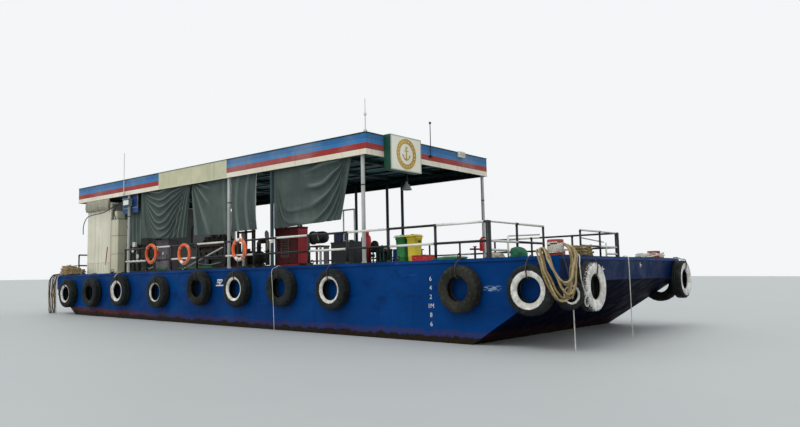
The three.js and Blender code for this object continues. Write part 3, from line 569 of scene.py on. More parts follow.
def rubber(name, look):
    # vulcanised rubber: matt black gone grey, with whitewash where "coat" is above 0, worn through in chips of 67 mm
    s = Shade(name)
    colour = s.add("mix", s.patches(0.35, 0.7, 330, 6), look["base"], look["worn"])
    dust = s.add("MULTIPLY", s.patches(0.5, 0.68, 90, 8, 0.7), look.get("dust", 0.4))
    colour = s.add("mix", dust, colour, look.get("dustTone", "#6b655a"))
    streaks = s.add("MULTIPLY", s.patches(0.52, 0.72, 1000, 6, 0.6, (26, 26, 3)), 0.5)
    colour = s.add("mix", streaks, colour, "#0b0b0b")
    coat = s.add("ShaderNodeAttribute", attribute_name="coat").outputs["Fac"]
    edge = s.add("MULTIPLY", s.add("SUBTRACT", s.add("noise", 38, 8, 0.7), 0.5), look.get("ragged", 0.05))
    worn = s.add("span", s.add("noise", 67, 8, 0.72), 0.60, 0.66, 1.0, 1.0 - look.get("bare", 0.6))
    white = s.add("MULTIPLY", s.add("span", s.add("ADD", coat, edge), -0.002, 0.006), worn)
    chalk = s.add("mix", s.patches(0.35, 0.7, 143, 6), "#b5b3ad", "#e9e8e4")
    colour = s.add("mix", white, colour, chalk)
    s.set(Base_Color=colour, Roughness=s.add("span", s.add("noise", 50, 5), 0.3, 0.7, 0.62, 0.88), Specular_IOR_Level=0.2,
          Normal=s.add("bump", s.add("noise", 18.2, 6), 0.0016, 0.7))
    return s.material


def fibre(name, look):
    # laid rope: yarns along the strands, drawn 3.8 mm wide so that they show, worn and dirty
    s = Shade(name)
    colour = s.add("mix", s.patches(0.35, 0.68, 111, 6), look["base"], look["worn"])
    colour = s.over(colour, look["dirt"], s.patches(0.5, 0.7, 450, 7, 0.65), 0.5)
    yarn = s.add("noise", 3.8, 5, 0.7)
    s.set(Base_Color=colour, Roughness=0.88, Normal=s.add("bump", yarn, 0.003, 0.8), Sheen_Weight=0.1)
    return s.material


paints = {  # colour, faded colour, roughness, dirt, rust, colour of the dirt, size of the rust spots in mm
    "cream": ("#d3d0bd", "#e2dfce", 0.5, 0.4, 0.22, "#6b6452", 330),
    "lockerCream": ("#c6c4ad", "#d2d0ba", 0.55, 0.35, 0.12, "#5f5a4a", 330),
    # the cabin's cream as it looks in the shade of the canopy, for its fore wall and door: painted shade
    "paintedShadeGrey": ("#6c716c", "#7f837c", 0.6, 0.35, 0.2, "#3e3c34"),
    "mauveGrey": ("#57505a", "#6d656c", 0.55, 0.45, 0.3, "#2c2522"),
    "lightGrey": ("#a3a7a4", "#bdbfbb", 0.5, 0.4, 0.2),
    "lampShell": ("#b9c0b6", "#d2d6cc", 0.4, 0.25),
    "hoseGrey": ("#9a9285", "#b3aa9b", 0.6, 0.4),
    "salmon": ("#8f6a5e", "#a88273", 0.5, 0.35, 0, "#4a2f29"),
    # the generator's red made darker: painted shade on its housing
    "paintedShadeRed": ("#4b1518", "#612023", 0.55, 0.5, 0.2, "#1e100e"),
    "rustySteel": ("#4a352e", "#6a4c40", 0.7, 0.5, 0.5, "#241a15", 143),
    "darkBrown": ("#2a211e", "#3c302b", 0.6, 0.5, 0.3, "#120f0d"),
    "rackGreen": ("#223a36", "#34504a", 0.6, 0.5, 0.35, "#1a1c18"),
    "white": ("#cfcfca", "#e6e6e2", 0.42, 0.35, 0.3, "#59544a", 143),
    "postGrey": ("#a9adab", "#c3c7c4", 0.45, 0.45, 0.38, "#4e4a42", 167),
    "black": ("#101113", "#22242a", 0.45, 0.3, 0.35, "#3b342b", 143),
    "darkSteel": ("#1f343a", "#2c464c", 0.55, 0.3, 0.3, "#15130f"),
    "roof": ("#5d6660", "#7d857d", 0.55, 0.5, 0.42, "#3a362d"),
    "trim": ("#1f4a5c", "#2d6272", 0.45, 0.3, 0.25),
    "hullTrim": ("#002e64", "#0c4080", 0.42, 0.4, 0.4, "#0a1a36", 200),
    "bollardRed": ("#8a2c24", "#a04438", 0.55, 0.4, 0.6, "#2f1a12", 111),
    # the generator's red made brighter: painted highlight on its bow end
    "paintedHighlightRed": ("#c20d20", "#cc2233", 0.35, 0.25, 0.1, "#3a1013"),
    "machineRed": ("#821219", "#9c1e26", 0.4, 0.35, 0.15, "#3a1013"),
    "signalRed": ("#c01a22", "#d5323a", 0.4, 0.25, 0.05),
    "green": ("#1f6b34", "#2f8244", 0.5, 0.3),
    "yellow": ("#d0bb33", "#e0d05a", 0.5, 0.3),
    "paleLid": ("#a9b596", "#c3caa8", 0.5, 0.3),
    "boardBlue": ("#173d6e", "#27548c", 0.5, 0.3),
    "navy": ("#14203c", "#22335a", 0.5, 0.3),
    "signGreen": ("#0e4634", "#1a5c46", 0.45, 0.3),
    "signCream": ("#e6e5d2", "#f2f1e4", 0.35, 0.18),
    "gold": ("#b08a2e", "#c9a548", 0.4, 0.15),
    "orange": ("#d9501c", "#e8703a", 0.5, 0.3),
    "iron": ("#2b2a29", "#3f3d3b", 0.6, 0.6, 0.4, "#3a352c", 167),
    "galvanised": ("#8d9290", "#aab0ad", 0.4, 0.4, 0.25),
    "darkPlastic": ("#131416", "#212326", 0.55, 0.2),
    "greyPlastic": ("#6c7178", "#848991", 0.5, 0.3),
    "netGreen": ("#1a5a42", "#2a7657", 0.8, 0.4),
}
# the roof's under colour is painted light for its shaded underside
finishes = {"roof": {"under": "#5a8d99"}, "hullTrim": {"gloss": 0.06}, "orange": {"grain": 4.2},
            "iron": {"metal": 0.4}, "galvanised": {"metal": 0.7}}
paintOf = {name: paint(name, *row, **finishes.get(name, {})) for name, row in paints.items()}
paintOf["marine"] = hullPaint()
paintOf["stripes"] = fasciaPaint({
    "panel": (-4.74, -0.93),
    "bands": [
        (0.25, 0.53, "#982a25"), (0.53, 0.715, "#1f74b0"), (0.715, 0.745, "#163f6a"), (0.745, 0.93, "#1c669f"),
        (0.93, 1.2, "#173247"),
    ],
})
paintOf["tarpCloth"] = canvas("coated_canvas", {"base": "#3b4947", "faded": "#4c5a56", "stain": "#2b3735",
    "pale": "#66736e", "valleyShade": "#2a3736"})
paintOf["paleCloth"] = canvas("bleached_canvas", {"base": "#8a8877", "faded": "#a5a290", "stain": "#4d4c42",
    "pale": "#b9b6a4", "valleyShade": "#6a685a"})
paintOf.update({
    "tyreBlack": rubber("tyre_rubber_black", {"base": "#101413", "worn": "#202625", "dust": 0.3, "dustTone": "#4a504c"}),
    "tyreBrown": rubber("tyre_rubber_brown", {"base": "#191a16", "worn": "#2f3029", "dust": 0.5, "dustTone": "#4b4c40"}),
    "tyreGrey": rubber("tyre_rubber_chalked", {"base": "#1d1e1e", "worn": "#3c3d3b", "dust": 0.5, "ragged": 0.3, "bare": 0.5}),
    "ropeWhite": fibre("white_polymer_rope", {"base": "#c9c8bf", "worn": "#dddbd2", "dirt": "#7c786c"}),
    "ropeBrown": fibre("old_manila_rope", {"base": "#7c683f", "worn": "#9f8a5e", "dirt": "#3b2f1e"}),
    "ropeTan": fibre("faded_manila_rope", {"base": "#97845a", "worn": "#b8a77f", "dirt": "#55452e"}),
    "ropeDark": fibre("tarred_rope", {"base": "#2b2722", "worn": "#423b33", "dirt": "#191613"}),
    "ropeBlue": fibre("blue_rope", {"base": "#2c4f86", "worn": "#4569a0", "dirt": "#1d2b42"}),
})


def glassy():
    # window glass, greyed by salt
    s = Shade("salted_glass")
    s.set(Base_Color=s.add("mix", s.patches(0.4, 0.7, 167, 6), "#1c2426", "#3b4648"), Roughness=0.12, Specular_IOR_Level=0.7)
    return s.material


def lampGlass():
    s = Shade("lamp_glass")
    s.set(Base_Color=s.add("mix", s.patches(0.3, 0.7, 33, 4), "#c9dccb", "#e8f3e4"), Roughness=0.15)
    return s.material


paintOf["glass"], paintOf["lamp"] = glassy(), lampGlass()
print("materials", len(bpy.data.materials))


# Cords: laid ropes of three strands on the CAD routes
def addRope(name, route, steps, diameter, far, material="ropeWhite", slot="rope_white", stiffness="limp",
            lay="hanging", nodes=()):
    line, length = through(route, steps)
    piece = grow(name, "rope", material, *chained([line]), replaces=nodes,
                 slot=slot, Diameter=diameter, Sides=5 if lay == "coiled" else 6)
    if far == "knot":
        knot = Parts(name + "_knot", material)
        shape = ((0, -1), (0.9, -0.75), (1.1, 0), (0.85, 0.7), (0, 1))
        knot.lathe([(r * diameter, h * diameter) for r, h in shape], line[-1], sides=12)
        knot.done()
    print("rope", name, round(length, 3))


def coil(centre, across, deep, turns, rise, points=14, taper=0.0):
    # loops of rope heaped on the deck, each a little off the one below
    shift = random.Random(7)
    route = []
    for k in range(turns * points + 1):
        t = 2 * math.pi * k / points
        if k % points == 0:
            dx, dy = shift.uniform(-0.03, 0.03), shift.uniform(-0.06, 0.06)
        wide = (1 - 0.1 * (k / points % 2)) * (1 - taper * k / points / turns)
        route.append((centre[0] + dx + deep * wide * math.cos(t), centre[1] + dy + across * wide * math.sin(t),
                      centre[2] + rise * k / points + 0.01 * math.sin(3 * t)))
    return route


ropes = [
    {"name": "white_bow_rope", "nodes": ["bow_rope_white"], "diameter": 0.028, "far": "bare", "steps": 60,
     "route": [(10.4674, -3.28, 2.18), (10.5, -3.28, 2.18), (10.55, -3.28, 2.172), (10.59, -3.28, 2.14), (10.616, -3.28, 2.06),
               (10.62, -3.28, 1.9), (10.62, -3.28, 1.4), (10.62, -3.27, 0.7), (10.62, -3.26, 0.13)]},
    {"name": "white_eye_rope", "nodes": ["bow_rope_eye"], "diameter": 0.028, "far": "knot", "steps": 80,
     "route": [(10.5, -2.83, 2.0744), (10.57, -2.85, 2.082), (10.62, -2.89, 2.04), (10.65, -2.96, 1.96), (10.69, -3.06, 1.85),
               (10.74, -3.09, 1.5), (10.815, -3.11, 1.29)]
     + [(10.84, -3.12 - 0.095 * math.sin(math.radians(32 * i)), 1.14 + 0.095 * math.cos(math.radians(32 * i)))
        for i in range(10)]},
    {"name": "grey_bow_rope", "nodes": ["bow_rope_grey"], "diameter": 0.024, "far": "bare", "steps": 60,
     "route": [(10.48, -0.21, 2.0724), (10.57, -0.21, 2.078), (10.605, -0.21, 2.04), (10.612, -0.208, 1.9), (10.612, -0.2, 1.0),
               (10.612, -0.19, 0.13)]},
    {"name": "thin_side_rope", "nodes": ["side_rope"], "diameter": 0.016, "far": "bare", "steps": 60,
     "route": [(2.33, -3.6, 2.0684), (2.33, -3.69, 2.075), (2.335, -3.76, 2.04), (2.345, -3.9, 1.98), (2.37, -3.945, 1.88),
               (2.4, -3.948, 1.5), (2.43, -3.945, 1.0), (2.45, -3.93, 0.13)]},
    {"name": "coiled_bow_rope", "diameter": 0.036, "far": "knot", "steps": 150, "material": "ropeBrown", "slot": "rope_brown",
     "lay": "coiled", "route": coil((10.05, -1.5, 2.085), 0.46, 0.2, 6, 0.036)},
    {"name": "port_bow_rope", "diameter": 0.03, "far": "knot", "steps": 150, "lay": "coiled",
     "route": [(10.29 + 0.158 * math.cos(0.5 * k), 2.44 + 0.158 * math.sin(0.5 * k), 2.1 + 0.0026 * k) for k in range(36)]
     + [(10.42, 2.27, 2.18), (10.475, 2.17, 2.15), (10.49, 2.0, 2.12), (10.485, 1.87, 2.1), (10.42, 1.77, 2.09),
        (10.345, 1.81, 2.086)]
     + coil((10.16, 1.98, 2.085), 0.2, 0.18, 3, 0.03)},
    {"name": "port_bow_coil", "diameter": 0.03, "far": "knot", "steps": 100, "lay": "coiled",
     "route": coil((10.2, 2.95, 2.078), 0.2, 0.2, 4, 0.03)},
    {"name": "stern_coil", "diameter": 0.036, "far": "knot", "steps": 190, "material": "ropeTan",
     "slot": "rope_brown", "lay": "coiled",
     "route": coil((-10.29, -3.28, 2.084), 0.37, 0.4, 8, 0.04, taper=0.22)[:-1]
     + [(-10.03, -3.26, 2.41), (-10.06, -3.13, 2.42), (-10.17, -3.06, 2.43), (-10.32, -3.08, 2.42), (-10.42, -3.2, 2.41),
        (-10.4, -3.36, 2.41), (-10.27, -3.43, 2.42), (-10.14, -3.36, 2.43)]},
    {"name": "stern_loose_coil", "diameter": 0.036, "far": "knot", "steps": 130, "material": "ropeBrown", "slot": "rope_brown",
     "lay": "coiled", "route": coil((-9.58, -3.3, 2.082), 0.23, 0.28, 5, 0.04)},
    {"name": "stern_pale_rope", "diameter": 0.028, "far": "bare", "steps": 70,
     "route": [(-10.16, -3.42, 2.0755), (-10.2, -3.55, 2.0755), (-10.24, -3.66, 2.08), (-10.29, -3.73, 2.03),
               (-10.33, -3.75, 1.92), (-10.37, -3.76, 1.7), (-10.39, -3.755, 1.3), (-10.37, -3.75, 0.62)]},
    {"name": "stern_olive_rope", "diameter": 0.036, "far": "bare", "steps": 70, "material": "ropeBrown", "slot": "rope_brown",
     "route": [(-10.3, -3.45, 2.0795), (-10.34, -3.56, 2.0795), (-10.38, -3.66, 2.084), (-10.42, -3.73, 2.03),
               (-10.45, -3.76, 1.9), (-10.47, -3.77, 1.6), (-10.46, -3.76, 1.1), (-10.44, -3.75, 0.42)]},
    {"name": "lamp_cable_aft", "diameter": 0.036, "far": "bare", "steps": 60, "material": "darkPlastic", "slot": "black_steel",
     "stiffness": "medium",
     "route": [(-6.965, -3.0, 4.66), (-7.1, -3.02, 4.63), (-7.37, -3.03, 4.56), (-7.92, -3.03, 4.44),
               (-8.3, -3.025, 4.37), (-8.77, -3.02, 4.34), (-9.3, -3.01, 4.32), (-9.62, -2.99, 4.26),
               (-9.85, -2.98, 4.08), (-9.95, -2.97, 3.86), (-9.94, -2.97, 3.63)]},
    {"name": "lamp_cable_locker", "diameter": 0.036, "far": "object", "steps": 40, "material": "darkPlastic",
     "slot": "black_steel", "stiffness": "medium",
     "route": [(-6.965, -2.97, 4.6), (-7.1, -2.97, 4.6), (-7.3, -2.96, 4.6), (-7.5, -2.95, 4.53),
               (-7.66, -2.93, 4.42), (-7.75, -2.9, 4.3), (-7.78, -2.86, 4.2), (-7.78, -2.82, 4.12)]},
    {"name": "mid_rail_rope", "diameter": 0.022, "far": "object", "steps": 90, "lay": "taut",
     "route": [(-5.78 + 0.085 * k, -3.53 + 0.05 * math.sin(2.1 * k), 2.425 + 0.045 * math.cos(2.1 * k)) for k in range(15)]},
]
for settings in ropes:
    addRope(**settings)


# Bundles of old rope: several laid ropes side by side, each on its own line
def bundle(settings):
    line, length = through(settings["route"], settings["steps"])
    sections = frameAlong(line)
    across, out = Vector(settings["across"]), Vector(settings["out"])
    highest = max(p.z for p in line)
    for k, (side, forward, lift) in enumerate(settings["ropes"]):
        route = []
        for i, (p, a, b) in enumerate(sections):
            leg = 1.0 if i < len(sections) / 2 else settings["narrow"]
            free = min(1.0, i / 12, (len(sections) - 1 - i) / 12)
            low = (highest - p.z) / settings["deep"]
            bend = 0.022 * noise.noise(Vector((k * 3.1, i * 0.16, 1.7)))
            route.append(p + across * (side * leg + bend) * free + out * forward * free + Vector((0, 0, lift * low)))
        route, run = through(route[::3], settings["steps"])
        look = settings["materials"][k % len(settings["materials"])]
        piece = grow(f"{settings['name']}_{k + 1}", "rope", look, *chained([route]), replaces=settings["nodes"],
                     slot="rope_brown", Diameter=settings["diameter"], Sides=5)
    print("bundle", settings["name"], round(length, 3))


bundle({
    "name": "bow_hank", "nodes": ["bow_rope_hank"], "materials": ["ropeBrown", "ropeTan"], "diameter": 0.044,
    "steps": 90, "far": "object", "across": (0.777, 0.629, 0), "out": (0.629, -0.777, 0), "narrow": 0.55, "deep": 0.97,
    "ropes": [  # to the side, outwards, and how much higher each hangs
        (-0.13, 0.0, 0.02), (-0.085, 0.03, 0.0), (-0.045, 0.0, 0.05), (0.0, 0.035, 0.3), (0.03, -0.01, 0.26), (0.065, 0.03, 0.1),
        (0.08, 0.0, 0.04),
    ],
    "route": [(9.99, -3.42, 2.1404), (10.2, -3.68, 2.17), (10.35, -3.86, 2.02), (10.46, -3.98, 1.8), (10.59, -4.02, 1.52),
              (10.7, -4.0, 1.28), (10.78, -3.92, 1.17), (10.83, -3.82, 1.24), (10.84, -3.71, 1.48), (10.8, -3.54, 1.8),
              (10.73, -3.36, 2.04), (10.62, -3.28, 2.2), (10.49, -3.24, 2.27), (10.4, -3.15, 2.31)],
})
bundle({
    "name": "stern_ropes", "nodes": ["stern_rope_bundle"], "materials": ["ropeBrown", "ropeDark", "ropeBlue"],
    "diameter": 0.044, "steps": 81, "far": "bare", "across": (0.777, 0.629, 0), "out": (0.629, -0.777, 0),
    "narrow": 1.0, "deep": 1.85,
    "ropes": [(-0.06, 0.0, 0.0), (-0.01, 0.02, 0.06), (0.045, 0.0, 0.14), (0.095, 0.02, 0.02), (0.145, 0.02, 0.1),
              (0.195, 0.03, 0.22)],
    "route": [(-9.9, -3.56, 2.083), (-10.2, -3.6, 2.083), (-10.4, -3.68, 2.09), (-10.54, -3.77, 2.06), (-10.62, -3.83, 1.9),
              (-10.65, -3.85, 1.5), (-10.64, -3.84, 1.0), (-10.62, -3.83, 0.56), (-10.6, -3.82, 0.3)],
})

# Bollards with a welded foot and a rolled cap; turns of rope on the one at the starboard bow
bollards = {"x": 10.29, "y": 3.28, "foot": stand, "base": 0.215, "turns": 7, "coil": 0.156, "inner": 2.44, "short": 0.14}
bollardShape = [(0.158, 0.016), (0.146, 0.026), (0.135, 0.04), (0.135, 0.235), (0.14, 0.25), (0.157, 0.262), (0.165, 0.275),
                (0.165, 0.312), (0.158, 0.324), (0.145, 0.33), (0.02, 0.3297), (0.0, 0.3297)]
for name, end, y, cut in (("bow_starboard", 1, -bollards["y"], 0), ("bow_port", 1, bollards["inner"], bollards["short"]),
                          ("stern_starboard", -1, -bollards["y"], 0), ("stern_port", -1, bollards["y"], 0)):
    x, low = end * bollards["x"], bollards["foot"]
    post = Parts(f"bollard_{name}_post", "bollardRed")
    corners = ((-1, -0.8), (-0.8, -1), (0.8, -1), (1, -0.8), (1, 0.8), (0.8, 1), (-0.8, 1), (-1, 0.8))
    post.prism([(x + bollards["base"] * a, y + bollards["base"] * b) for a, b in corners], low, low + 0.016)
    post.lathe([(r, z - cut if z > 0.1 else z) for r, z in bollardShape], (x, y, low - 0.0003), sides=40)
    for k in range(4):
        turn = Matrix.Rotation(math.pi * (k + 0.5) / 2, 3, "Z")
        post.box((x + 0.13, y - 0.006, low + 0.016), (x + 0.2, y + 0.006, low + (0.04 if cut else 0.09)), turn=turn,
                 about=(x, y, low))
    post.done(replaces=[f"bollard_{name}"], edge=0.003)

rings = [
    [Vector((bollards["x"] + bollards["coil"] * math.cos(t), -bollards["y"] + bollards["coil"] * math.sin(t),
             2.098 + 0.033 * k + 0.033 * i / 60)) for i in range(61) for t in [2 * math.pi * i / 60 + 0.9 * k]]
    for k in range(bollards["turns"])
]
grow("rope_turns", "rope", "ropeWhite", *chained(rings), replaces=["bow_rope_turns"], slot="rope_white", Diameter=0.034)
print("bollards")


def nodePaint(name, *nodes):
    # CAD nodes that keep their shape take this material
    for node in nodes:
        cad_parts[node].data.materials.clear()
        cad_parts[node].data.materials.append(paintOf[name])


# Hull: the plating keeps its CAD shape; marks, pads and deck fittings are added
nodePaint("marine", "hull")
nodePaint("hullTrim", "hatch_coaming", "hatch_lid")


def numbers(name, marks, size, place, across, out):
    # plain draught figures, cut from the built-in type, lying on a plate
    whole = Parts(name, "white")
    for text, low in marks:
        curve = bpy.data.curves.new("figure", "FONT")
        curve.body = text
        curve.size = size
        curve.extrude = 0.001
        curve.resolution_u = 3
        curve.align_x = "CENTER"
        shown = link("figure", curve)
        mesh = bpy.data.meshes.new_from_object(shown.evaluated_get(bpy.context.evaluated_depsgraph_get()))
        verts = [Vector(place) + Vector(across) * v.co.x + Vector((0, 0, low + v.co.y)) + Vector(out) * (v.co.z + 0.0012)
                 for v in mesh.vertices]
        whole.mesh(verts, [tuple(p.vertices) for p in mesh.polygons])
        bpy.data.objects.remove(shown)
        bpy.data.curves.remove(curve)
        bpy.data.meshes.remove(mesh)
    return whole.done()


draught = [("6", 1.6), ("4", 1.4), ("2", 1.2), ("1M", 1.0), ("8", 0.8), ("6", 0.6)]
for name, side in (("starboard", -1), ("port", 1)):
    numbers(f"draught_figures_{name}", draught, size=0.14, place=(7.4, side * hull["beam"], 0.0),
            across=(-side, 0, 0), out=(0, side, 0))
    marks = Parts(f"load_marks_{name}", "white")
    y0, y1 = sorted((side * hull["beam"], side * (hull["beam"] + 0.002)))
    for x0, x1, z0, z1 in ((-0.47, -0.04, 1.555, 1.59), (-0.40, -0.16, 1.72, 1.752), (-0.30, -0.265, 1.59, 1.72),
                           (-0.42, -0.30, 1.64, 1.665)):
        marks.box((x0, y0, z0), (x1, y1, z1))
    for foot, tip in ((-0.40, -0.29), (-0.16, -0.275)):
        marks.prism([(foot - 0.018, 1.725), (foot + 0.018, 1.725), (tip + 0.018, 1.61), (tip - 0.018, 1.61)], y0, y1, 1)
    marks.done()
marks = Parts("headlog_marks", "white")
for y, z in ((-1.52, 1.78), (0.77, 1.87)):
    marks.box((10.5352, y - 0.05, z - 0.06), (10.537, y - 0.02, z + 0.06))
    marks.box((10.5352, y - 0.02, z - 0.015), (10.537, y + 0.05, z + 0.015))
marks.done()

# rubbing strake, weld beads and deck fittings
trim = Parts("hull_trim", "hullTrim", "galvanised", "iron")
for side in (-1, 1):
    trim.box((-10.3, side * hull["beam"], 1.985), (10.3, side * 3.676, 2.04))
    for k in range(-3, 3):
        x = k * 3.05 + 1.5225
        trim.box((x - 0.005, side * 3.649, 0.02), (x + 0.005, side * 3.6525, 2.05))
for end in (-1, 1):
    trim.box((end * hull["half"], -hull["beam"], 1.985), (end * 10.561, hull["beam"], 2.04))
    for y in (-2.4, -1.2, 0.0, 1.2, 2.4):
        trim.box((end * 10.534, y - 0.005, 1.54), (end * 10.5375, y + 0.005, 2.05))
# deck edge bar and pad eyes with rings
for side in (-1, 1):
    for x in (-8.6, -6.6, -4.5, -2.2, -0.2, 1.6, 3.5, 6.4, 8.12):
        y = side * 3.56
        trim.box((x - 0.09, y - 0.04, stand), (x + 0.09, y + 0.04, 2.074), 2)
        trim.box((x - 0.035, y - 0.009, 2.07), (x + 0.035, y + 0.009, 2.125), 2)
        trim.tube([(x + 0.014, y + a, 2.135 + b) for a, b in circle(20, 0.055)], 0.011, 8, 2, closed=True)
trim.done(edge=0.002)

deck = Parts("deck_fittings", "hullTrim", "iron", "galvanised")
deckBolts = []
for x, y in ((8.3, -0.6), (6.2, 2.3), (-9.9, 2.6), (-9.95, -2.4), (9.6, 2.2), (-5.6, -3.15), (2.9, 3.15)):
    deck.lathe([(0.30, 0), (0.30, 0.02), (0.285, 0.026), (0.26, 0.026), (0.255, 0.034), (0.0, 0.036)],
               (x, y, stand), sides=36, look=0)
    deckBolts += [(x + a, y + b, 2.085) for a, b in circle(12, 0.278)]
for x, y in ((-10.1, -1.2), (-10.1, 1.2)):
    deck.lathe([(0.075, 0), (0.075, 0.01), (0.05, 0.014), (0.05, 0.34), (0.1, 0.35), (0.115, 0.38), (0.1, 0.43),
                (0.06, 0.46), (0.0, 0.465)], (x, y, stand), sides=24, look=2)
for x, y in ((-9.9, 2.0), (-9.9, -1.9)):
    deck.box((x - 0.16, y - 0.05, stand), (x + 0.16, y + 0.05, 2.075), 1)
    for dx in (-0.07, 0.07):
        deck.tube([(x + dx, y, 2.07), (x + dx, y, 2.16)], 0.022, 10, 1)
    deck.tube([(x - 0.2, y, 2.175), (x - 0.1, y, 2.168), (x + 0.1, y, 2.168), (x + 0.2, y, 2.175)],
              [0.016, 0.024, 0.024, 0.016], 10, 1)
deck.done(edge=0.002)
grow("manhole_bolts", "studs", "iron", deckBolts, outs=[toTop] * len(deckBolts), slot="black_steel",
     Radius=0.012, Height=0.013, Crown=0.8, Sides=6)
print("hull")

# Fenders: truck tyres lashed to rings at the deck edge, some with a whitewashed ring
tyreSize = {"radius": 0.51, "hole": 0.262, "wide": 0.27}
tyreShape = [(0.0, 0.62), (0.024, 0.75), (0.153, 0.88), (0.315, 0.96), (0.496, 1.0), (0.677, 0.985), (0.819, 0.93), (0.919, 0.84),
             (0.972, 0.72), (1.0, 0.56)]  # share of the way from hole to tread, share of the half width


def tyre(parts, centre, axis, size, look, ring, outward=1):
    r, h, w = size["radius"], size["hole"], size["wide"] / 2
    half = [(h + (r - h) * a, w * b) for a, b in tyreShape]
    fine = []
    for (r0, w0), (r1, w1) in zip(half, half[1:]):
        fine += [(r0, w0), ((r0 + r1) / 2, (w0 + w1) / 2 + 0.0012)]
    fine.append(half[-1])
    groove = [(r - 0.001, w * 0.54), (r - 0.014, w * 0.52), (r - 0.014, w * 0.44), (r, w * 0.42), (r, w * 0.1),
              (r - 0.014, w * 0.07)]
    inner = [(r * 0.945, 0), (r * 0.93, w * 0.5), (r * 0.8, w * 0.78), (h + 0.05, w * 0.6), (h + 0.004, w * 0.5)]
    front = fine + groove
    profile = [(a, -b) for a, b in front] + [(a, b) for a, b in front[::-1]] + [(a, b) for a, b in inner[::-1]]
    profile += [(a, -b) for a, b in inner[1:]] + [(fine[0][0], -fine[0][1])]
    coats = [-1.0] * len(profile)
    for i, (a, b) in enumerate(profile):
        if ring >= 1 or b * outward > w * 0.4:
            coats[i] = ring - a
    # the lugs of the tread bite into its shoulders
    shoulder = {i for i, (a, b) in enumerate(profile) if r - 0.035 < a and abs(b) > w * 0.5}
    middle = {i for i, (a, b) in enumerate(profile) if a > r - 0.002 and abs(b) < w * 0.5}
    lugs = lambda i, k: -0.011 * (k % 3 == 0) if i in shoulder else (-0.007 * (k % 4 == 0) if i in middle else 0)
    parts.lathe(profile, centre, axis, 72, look=look, swell=lugs, coats=coats)


def lashing(parts, route, look, radius=0.012):
    parts.tube(through(route, 30)[0], radius, 8, look)


sideTyres = [  # place along the side, height, ring radius (0 where there is none), material
    (-9.36, 1.36, 0.33, 0), (-7.58, 1.39, 0, 0), (-5.66, 1.445, 0.35, 0), (-3.33, 1.395, 0.30, 0), (-1.12, 1.505, 0, 0),
    (0.69, 1.47, 0.335, 0), (2.56, 1.495, 0, 0), (4.46, 1.425, 0.335, 0), (8.27, 1.415, 0, 1), (9.97, 1.385, 0.385, 0),
]
for name, side in (("starboard", -1), ("port", 1)):
    row = Parts(f"tyres_{name}", "tyreBlack", "tyreBrown", "ropeDark", "ropeWhite")
    for x, z, ring, look in sideTyres:
        y = side * (hull["beam"] + 0.0003 + tyreSize["wide"] / 2)
        lean = Vector((0, side, random.Random(x).uniform(-0.015, 0.015)))
        tyre(row, (x, y, z), lean, tyreSize, look, ring)
        route = [(-3.60, 2.08), (-3.70, 2.075), (-3.80, 2.03), (-3.90, z + 0.53), (-3.935, z + 0.45), (-3.93, z + 0.35),
                 (-3.90, z + 0.25), (-3.80, z + 0.22), (-3.67, z + 0.27)]
        slip = random.Random(x + side).uniform(-0.05, 0.05)
        lashing(row, [(x + slip, -side * a, b) for a, b in route], 2)
    lashing(row, [(-5.9, side * 3.6, 2.08), (-5.92, side * 3.7, 2.07), (-5.95, side * 3.78, 1.98), (-6.0, side * 3.9, 1.7),
                  (-5.97, side * 3.93, 1.4), (-5.9, side * 3.925, 1.2)], 3, 0.011)
    row.done(replaces=[f"fenders_{name}"])

ends = [("bow", 1, [(-2.5, 1.415, 0.5, 1), (3.4, 1.485, 0.44, 0)]), ("stern", -1, [(-3.0, 1.39, 0, 0), (2.9, 1.39, 0, 0)])]
for name, end, places in ends:
    row = Parts(f"tyres_{name}", "tyreBlack", "tyreGrey", "ropeDark")
    for y, z, ring, look in places:
        tyre(row, (end * (hull["half"] + 0.0003 + 0.135), y, z), (end, 0, 0), tyreSize, look, ring)
        face = hull["half"]
        route = [(face - 0.05, 2.08), (face + 0.05, 2.075), (face + 0.15, 2.03), (face + 0.25, z + 0.53),
                 (face + 0.285, z + 0.45), (face + 0.28, z + 0.35), (face + 0.25, z + 0.25), (face + 0.15, z + 0.22),
                 (face + 0.02, z + 0.27)]
        lashing(row, [(end * a, y + 0.03, b) for a, b in route], 2)
    if end > 0:
        # a smaller tyre round the starboard corner, turned 30 degrees from the bow
        turn, out, shift = math.radians(-30), 0.1, 0.14
        place = (hull["half"] + out * math.cos(turn) - shift * math.sin(turn),
                 -hull["beam"] + out * math.sin(turn) + shift * math.cos(turn), 1.29)
        tyre(row, place, (math.cos(turn), math.sin(turn), 0), {"radius": 0.3, "hole": 0.15, "wide": 0.17}, 0, 0.19)
        lashing(row, [(10.5, -3.56, 2.08), (10.58, -3.58, 2.04), (10.66, -3.6, 1.85), (10.72, -3.62, 1.62),
                      (10.74, -3.64, 1.5)], 2)
    row.done(replaces=[f"fenders_{name}"])
print("tyres")

# Cabin: painted plate walls with stiffeners, framed windows, door details and the tiered locker
cabin = {"aft": -9.76, "fore": -8.03, "side": 2.88, "low": stand, "high": 4.7}
nodePaint("cream", "cabin_wall_aft", "cabin_wall_starboard", "cabin_wall_port", "cabin_roof")
